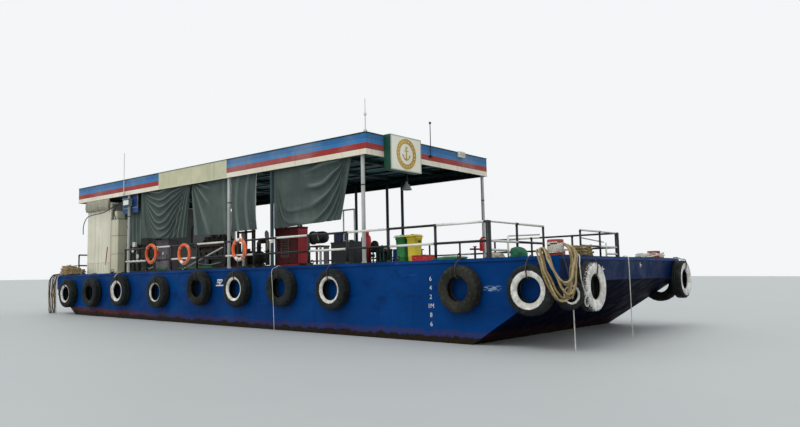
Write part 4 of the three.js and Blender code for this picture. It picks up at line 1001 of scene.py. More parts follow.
# the fore wall and door take a grey in place of the cream of the other walls: painted shade
nodePaint("paintedShadeGrey", "cabin_wall_fore", "cabin_door")
walls = Parts("cabin_trim", "cream", "black", "galvanised", "glass", "machineRed", "paintedShadeGrey")
fore, side = cabin["fore"], cabin["side"]
for sy in (-1, 1):
    y0, y1 = sy * side, sy * (side + 0.012)
    for k in range(9):
        x = cabin["aft"] + 0.1 + k * 0.19
        walls.box((x, y0, 2.07), (x + 0.012, y1, 2.5))
    walls.box((cabin["aft"], y0, 2.5), (fore, y1, 2.512))
    walls.box((cabin["aft"], y0, stand), (fore, y1, 2.09))
for y in (-2.4, -1.9, 1.6, 2.4):
    walls.box((fore, y, 2.07), (fore + 0.012, y + 0.012, 4.68), 5)
for z in (stand, 2.575):
    walls.box((fore, -0.44, z), (fore + 0.014, 2.88, z + 0.02), 5)
bolts = {"points": [], "outs": []}


def window(parts, low, high, axis, face, out):
    # a bolted frame with rounded corners round a pane; low and high hold (along, up)
    def spot(a, b, d):
        return (face + out * d, a, b) if axis == 0 else (a, face + out * d, b)
    loops = []
    for grown, deep in ((0.0, 0.004), (0.0, 0.022), (0.05, 0.026), (0.06, 0.02), (0.06, 0.0)):
        loop = []
        for cx, cy, start in ((high[0], high[1], 0), (low[0], high[1], 90), (low[0], low[1], 180), (high[0], low[1], 270)):
            r = 0.08
            ox, oy = (cx - r if cx == high[0] else cx + r), (cy - r if cy == high[1] else cy + r)
            for k in range(6):
                t = math.radians(start + 18 * k)
                loop.append(spot(ox + (r + grown) * math.cos(t), oy + (r + grown) * math.sin(t), deep))
        loops.append(loop)
    verts = [p for loop in loops for p in loop]
    parts.mesh(verts, ringFaces(len(loops) - 1, len(loops[0])), 1)
    corners = ((low[0], low[1]), (high[0], low[1]), (high[0], high[1]), (low[0], high[1]))
    pane = [spot(a, b, deep) for deep in (-0.03, -0.036) for a, b in corners]
    parts.mesh(pane, [(0, 1, 2, 3), (7, 6, 5, 4), (0, 4, 5, 1), (1, 5, 6, 2), (2, 6, 7, 3), (3, 7, 4, 0)], 3)
    for k in range(14):
        a = low[0] + (high[0] - low[0]) * (k % 7) / 6
        bolts["points"].append(spot(a, low[1] - 0.03 if k < 7 else high[1] + 0.03, 0.024))
        bolts["outs"].append((out, 0, 0) if axis == 0 else (0, out, 0))


window(walls, (0.7, 3.15), (2.1, 3.95), 0, fore, 1)
window(walls, (-9.3, 3.15), (-8.5, 3.95), 1, side, 1)
grow("window_bolts", "studs", "galvanised", bolts["points"], outs=bolts["outs"], slot="grey_steel",
     Radius=0.009, Height=0.008, Crown=0.7, Sides=6)
# a vent cowl, a grab rail and a lamp beside the door, and a slanted red strip on the starboard wall
walls.tube([(fore + 0.002, -0.3, 3.0), (fore + 0.07, -0.3, 3.0), (fore + 0.07, -0.3, 3.9), (fore + 0.002, -0.3, 3.9)],
           0.014, 10, 2)
walls.lathe([(0.1, 0), (0.1, 0.05), (0.075, 0.08), (0.0, 0.085)], (fore, -1.7, 4.35), toBow, sides=24, look=1)
strip = [(-8.26, 3.07), (-8.2, 3.07), (-8.32, 2.4), (-8.38, 2.4)]
walls.mesh([(x, y, z) for y in (-2.8803, -2.888) for x, z in strip],
           [(3, 2, 1, 0), (4, 5, 6, 7), (0, 1, 5, 4), (1, 2, 6, 5), (2, 3, 7, 6), (3, 0, 4, 7)], 4)
for y in (-2.2, 0.3, 2.3):
    walls.lathe([(0.05, 0), (0.05, 0.03), (0.0, 0.032)], (-9.76, y, 3.6), (-1, 0, 0), sides=20, look=1)
for z in (3.1, 4.1):
    walls.box((-9.79, -1.2, z), (-9.76, 1.2, z + 0.02), 0)
walls.done(edge=0.0025)
grow("cabin_louvre", "slats", "cream", [(-9.772, 0, 3.18)], outs=[toBow], slot="cream_steel",
     Count=9, Pitch=0.1, Length=2.3, Depth=0.05, Thickness=0.006, Tilt=-0.5)

door = Parts("door_fittings", "paintedShadeGrey", "black", "galvanised", "glass")
for z in (2.32, 3.05, 3.86):
    door.box((-7.984, -1.22, z), (-7.972, -0.58, z + 0.04))
for y in (-1.22, -0.62):
    door.box((-7.984, y, 2.36), (-7.972, y + 0.04, 3.86))
for z in (2.5, 3.7):
    door.lathe([(0.022, 0), (0.022, 0.02), (0.014, 0.026), (0.0, 0.028)], (-7.984, -0.56, z), toBow, sides=14, look=2)
    door.tube([(-7.962, -0.56, z), (-7.955, -0.56, z - 0.1), (-7.952, -0.56, z - 0.16)], [0.012, 0.011, 0.013], 10, 2)
door.tube([(-7.984, -0.6, 3.0), (-7.945, -0.6, 3.0), (-7.94, -0.66, 3.0), (-7.94, -0.74, 3.0)], 0.011, 10, 2)
door.box((-7.984, -0.63, 2.93), (-7.979, -0.57, 3.1), 2)
door.lathe([(0.17, 0), (0.17, 0.012), (0.14, 0.016), (0.135, 0.008), (0.0, 0.008)], (-7.984, -0.9, 3.5), toBow, sides=32,
           looks=[1, 1, 1, 1, 3])
door.done(body="cabin_door", edge=0.002)

nodePaint("lockerCream", "deck_locker")
locker = Parts("locker_trim", "lockerCream", "black", "paintedShadeGrey")
for z in (2.79, 3.47):
    locker.box((-8.026, -2.846, z - 0.006), (-7.544, -2.434, z + 0.006), 2)
for z0, z1 in ((2.12, 2.74), (2.84, 3.42), (3.52, 4.06)):
    locker.box((-7.54, -2.83, z0), (-7.534, -2.45, z1))
    locker.box((-7.534, -2.5, (z0 + z1) / 2 - 0.05), (-7.52, -2.48, (z0 + z1) / 2 + 0.05), 1)
locker.box((-7.6, -2.856, 2.08), (-7.57, -2.85, 4.09))
locker.box((-8.035, -2.858, 4.07), (-7.535, -2.42, 4.105), 2)
locker.done(edge=0.002)
print("cabin")

# Canopy: round posts with base flanges and gussets, and a dark frame; corrugated sheet on top
frameAft, frameFore = -10.38, 4.84
starboardPosts = [(-6.8, "postGrey"), (-0.93, "postGrey"), (1.09, "darkSteel"), (4.69, "postGrey")]
nodePaint("darkSteel", "canopy_frame_starboard", "canopy_frame_port", "roof_frame")
portPosts = [(-6.8, "darkSteel"), (-3.79, "darkSteel"), (-0.78, "darkSteel"), (0.74, "darkSteel"),
             (1.43, "darkSteel"), (4.77, "postGrey")]
for name, side, posts in (("starboard", -1, starboardPosts), ("port", 1, portPosts)):
    made = Parts(f"canopy_posts_{name}", "postGrey", "darkSteel", "white", "iron")
    y = side * 2.835
    for x, tone in posts:
        look = 0 if tone == "postGrey" else 1
        made.lathe([(0.052, 0), (0.0515, 3.0)], (x, y, 2.07), sides=28, look=look)
        made.lathe([(0.052, 0), (0.06, 0.008), (0.06, 0.03), (0.052, 0.04)], (x, y, 2.072), sides=28, look=look)
        made.box((x - 0.105, y - 0.105, stand), (x + 0.105, y + 0.105, 2.0735), look)
        for a, b in ((0.08, 0.08), (0.08, -0.08), (-0.08, 0.08), (-0.08, -0.08)):
            nut = [(0.017, 0), (0.017, 0.014), (0.012, 0.018), (0, 0.018)]
            made.lathe(nut, (x + a, y + b, 2.073), sides=6, look=3, soft=False)
        for k in range(4):
            turn = Matrix.Rotation(k * math.pi / 2, 3, "Z")
            gusset = [Vector((a, b, c)) for b in (-0.004, 0.004) for a, c in ((0.05, 0.012), (0.1, 0.012), (0.05, 0.12))]
            made.mesh([Vector((x, y, stand)) + turn @ v for v in gusset],
                      [(0, 1, 2), (5, 4, 3), (0, 3, 4, 1), (1, 4, 5, 2), (2, 5, 3, 0)], look)
        if x == 1.09:
            made.lathe([(0.0535, 0), (0.0535, 0.17)], (x, y, 2.77), sides=28, look=2)
        if tone == "postGrey":
            for z in (2.9, 4.1):
                made.lathe([(0.054, 0), (0.054, 0.035)], (x, y, z), sides=28, look=1)
    outer, web, inner, low, high = side * 2.8897, side * 2.842, side * 2.79, 5.05, 5.155
    made.box((frameAft, outer, low), (frameFore, inner, low + 0.012), 1)
    made.box((frameAft, outer, high), (frameFore, inner, high + 0.012), 1)
    made.box((frameAft, web, low + 0.012), (frameFore, side * 2.834, high), 1)
    for k in range(24):
        x = -10.2 + k * 0.645
        made.box((x, outer, low + 0.012), (x + 0.008, inner, high), 1)
    made.done(replaces=[f"canopy_frame_{name}"], edge=0.0015)

roof = Parts("roof_trusses", "darkSteel", "roof", "galvanised")
for k in range(9):
    x = -10.29 + k * (15.04 / 8)
    roof.box((x - 0.04, -2.88, 5.1705), (x + 0.04, 2.88, 5.18))
    roof.box((x - 0.04, -2.88, 5.28), (x + 0.04, 2.88, 5.29))
    roof.box((x - 0.004, -2.88, 5.18), (x + 0.004, 2.88, 5.28))
for y in (-1.5, 0.0, 1.5):
    roof.box((-10.37, y - 0.03, 5.2), (4.83, y + 0.03, 5.206))
    roof.box((-10.37, y - 0.03, 5.206), (4.83, y - 0.025, 5.28))
for y in (-2.2, -0.75, 0.75, 2.2):
    roof.box((-10.37, y - 0.02, 5.24), (4.83, y + 0.02, 5.244))
    roof.box((-10.37, y - 0.02, 5.244), (4.83, y - 0.016, 5.285))
roof.done(replaces=["roof_frame"], edge=0.001)

sheets = {"half": 2.88, "waves": 76, "rise": 0.022, "low": 5.2925, "thick": 0.0012}
roofLength = frameFore - frameAft


def thicken(piece):
    skin = piece.modifiers.new("skin", "SOLIDIFY")
    skin.thickness = sheets["thick"]
    skin.offset = 0
    applied(piece)


middle = ((frameAft + frameFore) / 2, 0.0, sheets["low"])
grow("corrugated_roof", "waves", "roof", [middle], replaces=["roof_sheet"], slot="roof_steel", finish=thicken,
     Run=roofLength, Width=2 * sheets["half"], Pitch=roofLength / sheets["waves"], Rise=sheets["rise"],
     Columns=sheets["waves"] * 8 + 1, Rows=5)
screws = [(middle[0] + (k + 0.25) * roofLength / sheets["waves"], y, sheets["low"] + sheets["rise"])
          for k in range(-sheets["waves"] // 2 + 1, sheets["waves"] // 2 - 1, 2) for y in (-2.8, -1.5, 0.0, 1.5, 2.8)]
grow("roof_screws", "studs", "galvanised", screws, outs=[toTop] * len(screws), slot="roof_steel",
     Radius=0.014, Height=0.0065, Crown=0.5, Sides=6)

# Fascia: folded panels with joint strips, a rolled top trim and rivets
nodePaint("stripes", "fascia_starboard", "fascia_port", "fascia_bow", "fascia_stern")
strips = Parts("fascia_strips", "stripes", "trim", "galvanised", "cream")
low, high = canopy["low"], canopy["high"]
rivets = {"points": [], "outs": []}


def rivetRow(place, out):
    for k in range(9):
        rivets["points"].append((*place, low + 0.04 + k * 0.063))
        rivets["outs"].append(out)


for sy in (-1, 1):
    for x in (-8.5, -6.62, -4.74, -2.83, -0.93, 0.97, 2.9):
        strips.box((x - 0.018, sy * 2.93, low), (x + 0.018, sy * 2.934, high), 0)
        rivetRow((x, sy * 2.934), (0, sy, 0))
    edge = sorted((sy * 2.91, sy * 2.95))
    strips.prism([(edge[0], high - 0.012), (edge[1], high - 0.012), (edge[1], high - 0.003), (edge[1] - 0.006, high + 0.002),
                  (edge[0] + 0.006, high + 0.002), (edge[0], high - 0.003)], -10.455, 4.915, 0, 1)
    strips.prism([(edge[0], low - 0.004), (edge[1] - 0.002, low - 0.004), (edge[1] - 0.002, low + 0.014), (edge[0], low + 0.014)],
                 -10.45, 4.91, 0, 3)
for x, out in ((4.9, 1), (-10.44, -1)):
    for y in (-1.5, 0.0, 1.5):
        strips.box((x, y - 0.018, low), (x + out * 0.004, y + 0.018, high), 0)
        rivetRow((x + out * 0.004, y), (out, 0, 0))
    back, face = x - out * 0.02, x + out * 0.014
    strips.box((back, -2.935, high - 0.012), (face, 2.935, high + 0.002), 1)
    strips.box((back, -2.93, low - 0.004), (face, 2.93, low + 0.014), 3)
strips.box((4.905, 1.26, 5.32), (4.99, 1.56, 5.5), 3)
strips.box((4.99, 1.29, 5.35), (4.996, 1.53, 5.47), 2)
strips.done(edge=0.0015)
grow("fascia_rivets", "studs", "galvanised", rivets["points"], outs=rivets["outs"], slot="fascia_paint",
     Radius=0.006, Height=0.0036, Crown=0.5, Sides=8)

# Sign box: framed cream face with a studded gold ring and a plain anchor
sign = {"low": (4.9003, -2.22, 4.55), "high": (5.145, -0.9, 5.5), "frame": 0.03, "ring": (0.285, 0.42), "studs": 20}
signBox = Parts("sign_face", "signGreen", "signCream", "gold", "postGrey")
(sx0, sy0, sz0), (sx1, sy1, sz1) = sign["low"], sign["high"]
rim = sign["frame"]
signBox.box((sx0, sy0, sz0), (sx1 - 0.012, sy1, sz1), 0)
signBox.box((sx1 - 0.012, sy0 + rim, sz0 + rim), (sx1 - 0.002, sy1 - rim, sz1 - rim), 1)
for y0, y1, z0, z1 in ((sy0, sy1, sz0, sz0 + rim), (sy0, sy1, sz1 - rim, sz1), (sy0, sy0 + rim, sz0 + rim, sz1 - rim),
                       (sy1 - rim, sy1, sz0 + rim, sz1 - rim)):
    signBox.box((sx1 - 0.012, y0, z0), (sx1 + 0.002, y1, z1), 3)
centre = Vector((sx1 - 0.003, (sy0 + sy1) / 2, (sz0 + sz1) / 2))
inner, outer = sign["ring"]
signBox.lathe([(inner, 0), (inner, 0.008), (inner + 0.012, 0.009), (inner + 0.016, 0.006), (outer - 0.016, 0.006),
               (outer - 0.012, 0.009), (outer, 0.008), (outer, 0)], centre, toBow, sides=72, look=2, soft=False)
studs = [centre + Vector((0.006, b, a)) for a, b in circle(sign["studs"], (inner + outer) / 2)]


def onSign(*places):
    return [centre + Vector((0.006, y, z)) for y, z in places]


signBox.tube(onSign(*[(a, 0.165 + b) for a, b in circle(18, 0.036)]), 0.009, 8, 2, closed=True)
signBox.tube(onSign((0, 0.13), (0, 0.0), (0, -0.16)), [0.011, 0.014, 0.018], 10, 2)
signBox.tube(onSign((-0.085, 0.085), (0, 0.085), (0.085, 0.085)), [0.009, 0.012, 0.009], 10, 2)
arc = [(0.145 * math.sin(t), -0.01 - 0.145 * math.cos(t)) for t in [math.radians(-72 + 9 * k) for k in range(17)]]
signBox.tube(onSign(*arc), [0.006 + 0.012 * math.sin(math.pi * k / 16) for k in range(17)], 10, 2)
for hand in (-1, 1):
    signBox.prism([(hand * 0.175 + centre.y, centre.z - 0.01), (hand * 0.10 + centre.y, centre.z - 0.05),
                   (hand * 0.148 + centre.y, centre.z - 0.085)][::hand], centre.x, centre.x + 0.012, 0, 2)
signBox.done(replaces=["sign_box"], edge=0.0015)
grow("sign_studs", "studs", "signCream", studs, outs=[toBow] * len(studs), slot="sign_cream",
     Radius=0.016, Height=0.007, Crown=0.5, Sides=10)
print("canopy")


# Tarpaulins: one cut sheet each, laced along the beam, with hems and eyelets
def tarp(settings):
    nx, nz = settings["cells"]
    edge, top = settings["bottom"], settings["top"]
    left, right = edge[0][0], edge[-1][0]
    seed = settings["seed"]

    def low(x):
        for (x0, z0), (x1, z1) in zip(edge, edge[1:]):
            if x0 <= x <= x1:
                return z0 + (z1 - z0) * (x - x0) / (x1 - x0)
        return edge[-1][1]

    verts, folds = [], []
    for i in range(nx + 1):
        x = left + (right - left) * i / nx
        for j in range(nz + 1):
            v = j / nz
            z0 = low(x)
            z = z0 + (top - z0) * v
            out = settings["shape"](x, z, (x - left) / (right - left), v)
            folds.append(out / settings["depth"])
            y = settings["y"] - out
            wave = noise.noise(Vector((x * 1.7 + seed, v * 2.6, 0.3 * seed))) * 0.008
            wave += noise.noise(Vector((x * 6 + seed, v * 7, seed))) * 0.0025
            drift = settings["drift"](x, v) if "drift" in settings else 0
            verts.append((x + drift, y + wave, z))
    corners = [i * (nz + 1) + j for i in range(nx) for j in range(nz)]
    faces = [(first + 1, first + nz + 2, first + nz + 1, first) for first in corners]
    cloth = Parts(settings["name"], settings["material"])
    cloth.mesh(verts, faces, 0, True)
    # the fold heights, which the canvas turns into a painted highlight on crests and painted shade in valleys
    cloth.coats.update(enumerate(folds))
    obj = cloth.done(replaces=[settings["node"]])
    thick = obj.modifiers.new("thick", "SOLIDIFY")
    thick.thickness = 0.0018
    thick.offset = 0
    applied(obj)
    # hem, eyelets and lashings
    hem = Parts(settings["name"] + "_hem", settings["material"], "galvanised", "ropeWhite")
    hem.tube([Vector(verts[i * (nz + 1)]) for i in range(nx + 1)], 0.006, 8)
    for i in (0, nx):
        hem.tube([Vector(verts[i * (nz + 1) + j]) for j in range(nz + 1)], 0.005, 8, settings.get("hemLook", 0))
    ties = max(int((right - left) / 0.42), 2)
    for k in range(ties + 1):
        i = min(int(round(k * nx / ties)), nx)
        spot = Vector(verts[i * (nz + 1) + nz])
        spot.z -= 0.03
        hem.tube([spot + Vector((a, -0.003, b)) for a, b in circle(14, 0.013)], 0.0035, 6, 1, closed=True)
        tie = ((0, -0.004, 0), (0.004, -0.016, 0.03), (0.0, -0.012, 0.06), (0.0, -0.004, 0.075))
        hem.tube([spot + Vector(bend) for bend in tie], 0.004, 6, 2)
    piece = hem.done()
    return obj


def crest(t):
    # a fold with a sharper ridge than valley
    return 2.1 * ((1 + math.cos(t)) / 2) ** 2.4 - 0.75


def smooth(value, low, high):
    t = min(max((value - low) / (high - low), 0.0), 1.0)
    return t * t * (3 - 2 * t)


def pleats(depth, count, bend=0.0, phase=0.0):
    # upright folds that open towards the free edge
    return lambda x, z, u, v: depth * (1 - 0.5 * v) * crest(count * 2 * math.pi * u + bend * math.sin(3.3 * v) + phase)


def bows(depth, lowest, power, waves, full=True, upright=0.0, uneven=0.2):
    # a slack sheet hung from both top corners: nested bows that rise to them, and a fan of upright folds on the right
    def shape(x, z, u, v):
        t = (lowest - u) / lowest if u < lowest else (u - lowest) / (1 - lowest)
        high = min(t, 0.97) ** power
        level = (v - high) / (1 - high)
        strength = 1.0 if full else max(smooth(level, 0.4, 0.12) * 0.8, smooth(u, lowest + 0.04, lowest + 0.3))
        strength *= 1 - uneven * (0.5 + noise.noise(Vector((u * 2.2, level * 3.5, waves))))
        near = smooth(t, 1.0, 0.75) * smooth(v, 1.0, 0.9) * smooth(level, -1.6, -0.2)
        wander = 0.5 * noise.noise(Vector((u * 3, v * 3, waves)))
        bow = crest(2 * math.pi * (waves * level + wander)) * strength * near * (0.55 + 0.45 * smooth(v, 0.0, 0.25))
        fan = (1 - u) / (0.1 + 0.9 * (1 - v) ** 0.8)
        folds = crest(2 * math.pi * fan / 0.1) * smooth(fan, 0.42, 0.26) * smooth(v, 1.0, 0.75) * upright
        return depth * (bow * (1 - 0.7 * upright * smooth(fan, 0.42, 0.26)) + folds)
    return shape


def fanned(depth, corner, count):
    # folds that spread from one top corner, in metres
    def shape(x, z, u, v):
        away = math.hypot(x - corner[0], z - corner[1])
        angle = math.atan2(corner[1] - z, x - corner[0])
        second = crest(2 * math.pi * 3.2 * u + 1.5 * v) * smooth(u, 0.55, 0.9) * 0.5
        return depth * (crest(angle * count) * smooth(away, 0.0, 0.5) * (1.1 - 0.6 * u) * smooth(u, 0.7, 0.3)
                        + second * smooth(v, 1.0, 0.9))
    return shape


tarps = [
    {"name": "tarp_cloth_aft", "node": "tarp_aft", "seed": 1.0, "cells": (170, 100), "depth": 0.045,
     "bottom": [(-6.02, 3.29), (-4.5, 3.2), (-3.01, 3.17)], "shape": bows(0.045, 0.4, 1.7, 6.5, upright=0.8),
     "drift": lambda x, v: -0.15 * ((x + 6.02) / 3.01) ** 2 * (1 - v)},
    {"name": "tarp_cloth_middle", "node": "tarp_middle", "seed": 2.0, "cells": (130, 84), "depth": 0.035,
     "bottom": [(-2.95, 3.2), (-0.99, 3.15)], "shape": fanned(0.035, (-2.95, 5.045), 17),
     "drift": lambda x, v: 0.13 * (-0.99 - x) / 1.96 * (1 - v)},
    {"name": "tarp_cloth_short", "node": "tarp_short", "seed": 3.0, "cells": (90, 76), "depth": 0.035,
     "bottom": [(-0.86, 3.22), (0.37, 3.22)], "shape": pleats(0.035, 2.6, 1.6, 1.0), "hemLook": 2},
    {"name": "tarp_cloth_fore", "node": "tarp_fore", "seed": 4.0, "cells": (180, 108), "depth": 0.06,
     "bottom": [(1.16, 3.19), (3.85, 3.27), (3.95, 3.65), (4.29, 5.04)],
     "shape": bows(0.06, 0.3, 2.7, 3.6, full=False, uneven=0.5)},
    {"name": "tarp_cloth_inner", "node": "tarp_inner", "seed": 5.0, "cells": (56, 50), "depth": 0.012,
     "bottom": [(-7.15, 3.065), (-6.38, 3.065)], "shape": pleats(0.012, 3, 0.6, 0.5), "y": -2.598, "top": 5.16,
     "on": "roof_frame"},
]
for settings in tarps:
    tarp({"y": -2.812, "top": 5.045, "material": "tarpCloth", **settings})

# Rolled sheet under the fascia: lumpy folds, tied, with dark cables under it; it partly stands in for the fascia's
# shadow on the top of the cabin wall, its cloth darker than the wall as painted shade
roll = Parts("rolled_sheet", "paleCloth", "ropeWhite")
n, around = 150, 40
verts = []
for i in range(n + 1):
    u = i / n
    x = -9.755 + u * 1.70
    for k in range(around):
        t = 2 * math.pi * k / around
        tie = 1 - 0.16 * max(0.0, 1 - abs(((u * 4.0) % 1.0) - 0.5) * 9)
        y = -2.94 + 0.052 * math.cos(t) * tie
        z = 4.675 + 0.205 * math.sin(t) * tie
        creases = crest(x * 26 + k * 0.9 + 3 * noise.noise(Vector((x * 3, k * 0.3, 1.0))))
        lump = noise.noise(Vector((x * 2.4, k * 0.35, 3.1))) * 0.06 + creases * 0.012
        verts.append((x, max(min(y - abs(lump) * 0.5 + 0.004, -2.8815), -2.998), z + lump * 0.6))
roll.mesh(verts, ringFaces(n, around, True), 0, True)
rolled = roll.done(replaces=["tarp_bundle"])
ties = Parts("rolled_sheet_ties", "ropeWhite")
for x in (-9.54, -9.12, -8.69, -8.27):
    ties.tube([(x, -2.94 + 0.05 * a, 4.675 + 0.2 * b) for a, b in circle(24)], 0.006, 6, 0, closed=True)
ties.done()

# Guard rails: black tube with white lengths, sleeved at the joints
rails = {"y": 3.53, "aft": -5.8, "fore": 8.875, "top": 2.845, "mid": 2.43, "radius": 0.0278, "post": 0.0318, "foot": stand,
         "gate": 1.04, "bowPost": 2.31, "stern": -10.38}
stanchionPlaces = [-5.77, -4.42, -2.99, -1.6, -0.19, 1.14, 2.07, 3.36, 4.75, 6.1, 7.48]
whiteTop = {-1: [(-3.82, -3.04), (-1.58, -0.21), (2.05, 3.34), (4.75, 6.08), (7.5, 8.77)], 1: [(2.4, 3.8), (5.3, 6.4)]}
whiteMid = {-1: [(-5.74, -4.45), (-2.95, -1.61), (-0.19, 1.15), (3.37, 4.73), (6.15, 7.46)],
            1: [(-2.4, -1.2), (0.4, 1.6), (2.4, 3.8)]}


def run(parts, y, z, pieces, spanned):
    # one long rail in black and white lengths
    x = spanned[0]
    for low, high in pieces + [(spanned[1], spanned[1])]:
        if low > x:
            parts.tube([(x, y, z), (low, y, z)], rails["radius"], 14, 0)
        if high > low:
            parts.tube([(low, y, z), (high, y, z)], rails["radius"] + 0.0015, 14, 1)
        x = high


def stanchion(parts, x, y, radius, levels, look=0):
    low = rails["foot"]
    parts.tube([(x, y, low + 0.01), (x, y, rails["top"])], radius, 14, look)
    parts.lathe([(0.065, 0), (0.065, 0.01), (radius + 0.012, 0.013), (radius + 0.012, 0.045), (radius + 0.001, 0.05)],
                (x, y, low), sides=20, look=look)
    for z in levels:
        parts.tube([(x, y, z - 0.05), (x, y, z - 0.02)], radius + 0.003, 14, look)
    for k in range(4):
        t = math.pi * (k + 0.5) / 2
        feet.append((x + 0.053 * math.cos(t), y + 0.053 * math.sin(t), low + 0.0095))


feet = []
both = (rails["top"], rails["mid"])
for name, side in (("starboard", -1), ("port", 1)):
    guard = Parts(f"guard_rail_{name}", "black", "white", "iron", "postGrey")
    y, corner = side * rails["y"], rails["fore"]
    for z, pieces in ((rails["top"], whiteTop[side]), (rails["mid"], whiteMid[side])):
        run(guard, y, z, pieces, (rails["aft"], corner))
    for x in stanchionPlaces:
        stanchion(guard, x, y, rails["post"], both)
        for z in both:
            guard.tube([(x - 0.04, y, z), (x + 0.04, y, z)], rails["radius"] + 0.003, 14, 0)
    guard.lathe([(0.085, 0), (0.085, 0.012), (0.0595, 0.016), (0.0595, 0.795), (0.054, 0.803), (0, 0.804)],
                (corner, y, rails["foot"]), sides=28)
    for where in (rails["bowPost"], rails["gate"]):
        stanchion(guard, corner, side * where, rails["radius"], both)
    runs = [  # across the bow: from, to, height, radius, material
        (3.53, 2.34, rails["top"], 0.02, 3), (2.34, 2.25, rails["top"], 0.0278, 0), (2.25, 1.04, rails["top"], 0.0278, 1),
        (3.53, 2.28, rails["mid"], 0.0278, 1), (2.28, 1.04, rails["mid"], 0.0278, 0), (3.49, 2.72, 2.235, 0.0278, 1),
    ]
    for first, last, z, radius, look in runs:
        guard.tube([(corner, side * first, z), (corner, side * last, z)], radius, 14, look)
    guard.tube([(corner, side * 2.72, 2.08), (corner, side * 2.72, 2.55)], 0.024, 12, 1)
    guard.tube([(corner - 0.03, side * 2.63, 2.56), (corner - 0.03, side * 1.18, 2.64)], 0.017, 12, 3)
    if side < 0:
        guard.tube([(-2.45, -3.47, 2.09), (-0.4, -3.47, 2.70)], 0.022, 12, 3)
    guard.done(replaces=[f"rail_{name}"])
guard = Parts("guard_rail_stern", "black", "white")
x = rails["stern"]
for z in both:
    guard.tube([(x, -2.9, z), (x, 2.9, z)], rails["radius"], 14, 0)
guard.tube([(x, -1.45, rails["top"]), (x, 0.0, rails["top"])], rails["radius"] + 0.0015, 14, 1)
for y in (-2.9, -1.45, 0.0, 1.45, 2.9):
    stanchion(guard, x, y, rails["radius"], both)
guard.done(replaces=["rail_stern"])
grow("rail_foot_bolts", "studs", "iron", feet, outs=[toTop] * len(feet), slot="black_steel",
     Radius=0.008, Height=0.008, Crown=0.8, Sides=6)
print("rails")

# Lifebuoys: moulded ring, white bands, grab line in four bights
for name, bands in (("aft", []), ("middle", [250]), ("fore", [95, 250, 285])):
    buoy = Parts(f"buoy_{name}", "orange", "white", "ropeWhite", "yellow")
    low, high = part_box(f"lifebuoy_{name}")
    ringAt = (low + high) / 2
    r, tube = 0.2805, 0.0485
    steps, around = 96, 20
    verts = []
    for i in range(steps):
        t = 2 * math.pi * i / steps
        for k in range(around):
            a = 2 * math.pi * k / around
            wide = 1.0 + 0.02 * (i % 24 == 0)
            far = r + tube * math.cos(a) * wide
            verts.append((ringAt.x + far * math.cos(t), ringAt.y + tube * math.sin(a) * 0.98, ringAt.z + far * math.sin(t)))
    buoy.mesh(verts, [tuple(v % len(verts) for v in face) for face in ringFaces(steps, around)], 0, True)
    for i in range(steps):
        if any(abs((360 * (i + 0.5) / steps - band + 180) % 360 - 180) < 14 for band in bands):
            buoy.looks[i * around:(i + 1) * around] = [1] * around
    for q in range(4):
        t0 = math.pi / 4 + q * math.pi / 2
        line = []
        for k in range(15):
            t = t0 + (math.pi / 2) * k / 14
            slack = math.sin(math.pi * k / 14)
            out = r + tube + 0.004 - 0.012 * slack
            line.append((ringAt.x + out * math.cos(t), ringAt.y - 0.02 * slack, ringAt.z + out * math.sin(t) - 0.012 * slack))
        buoy.tube(line, 0.0045, 8, 2)
        knot = [(ringAt.x + (r + a) * math.cos(t0), ringAt.y + b, ringAt.z + (r + a) * math.sin(t0))
                for a, b in circle(18, tube + 0.002)]
        buoy.tube(knot, 0.006, 6, 2, closed=True)
    buoy.done(replaces=[f"lifebuoy_{name}"])
    hook = Parts(f"buoy_hook_{name}", "galvanised")
    for dx in (-0.12, 0.12):
        hook.tube([(ringAt.x + dx, -3.53, 2.878), (ringAt.x + dx, -3.567, 2.876), (ringAt.x + dx, -3.585, 2.86)], 0.005, 8)
    hook.done()
print("lifebuoys")

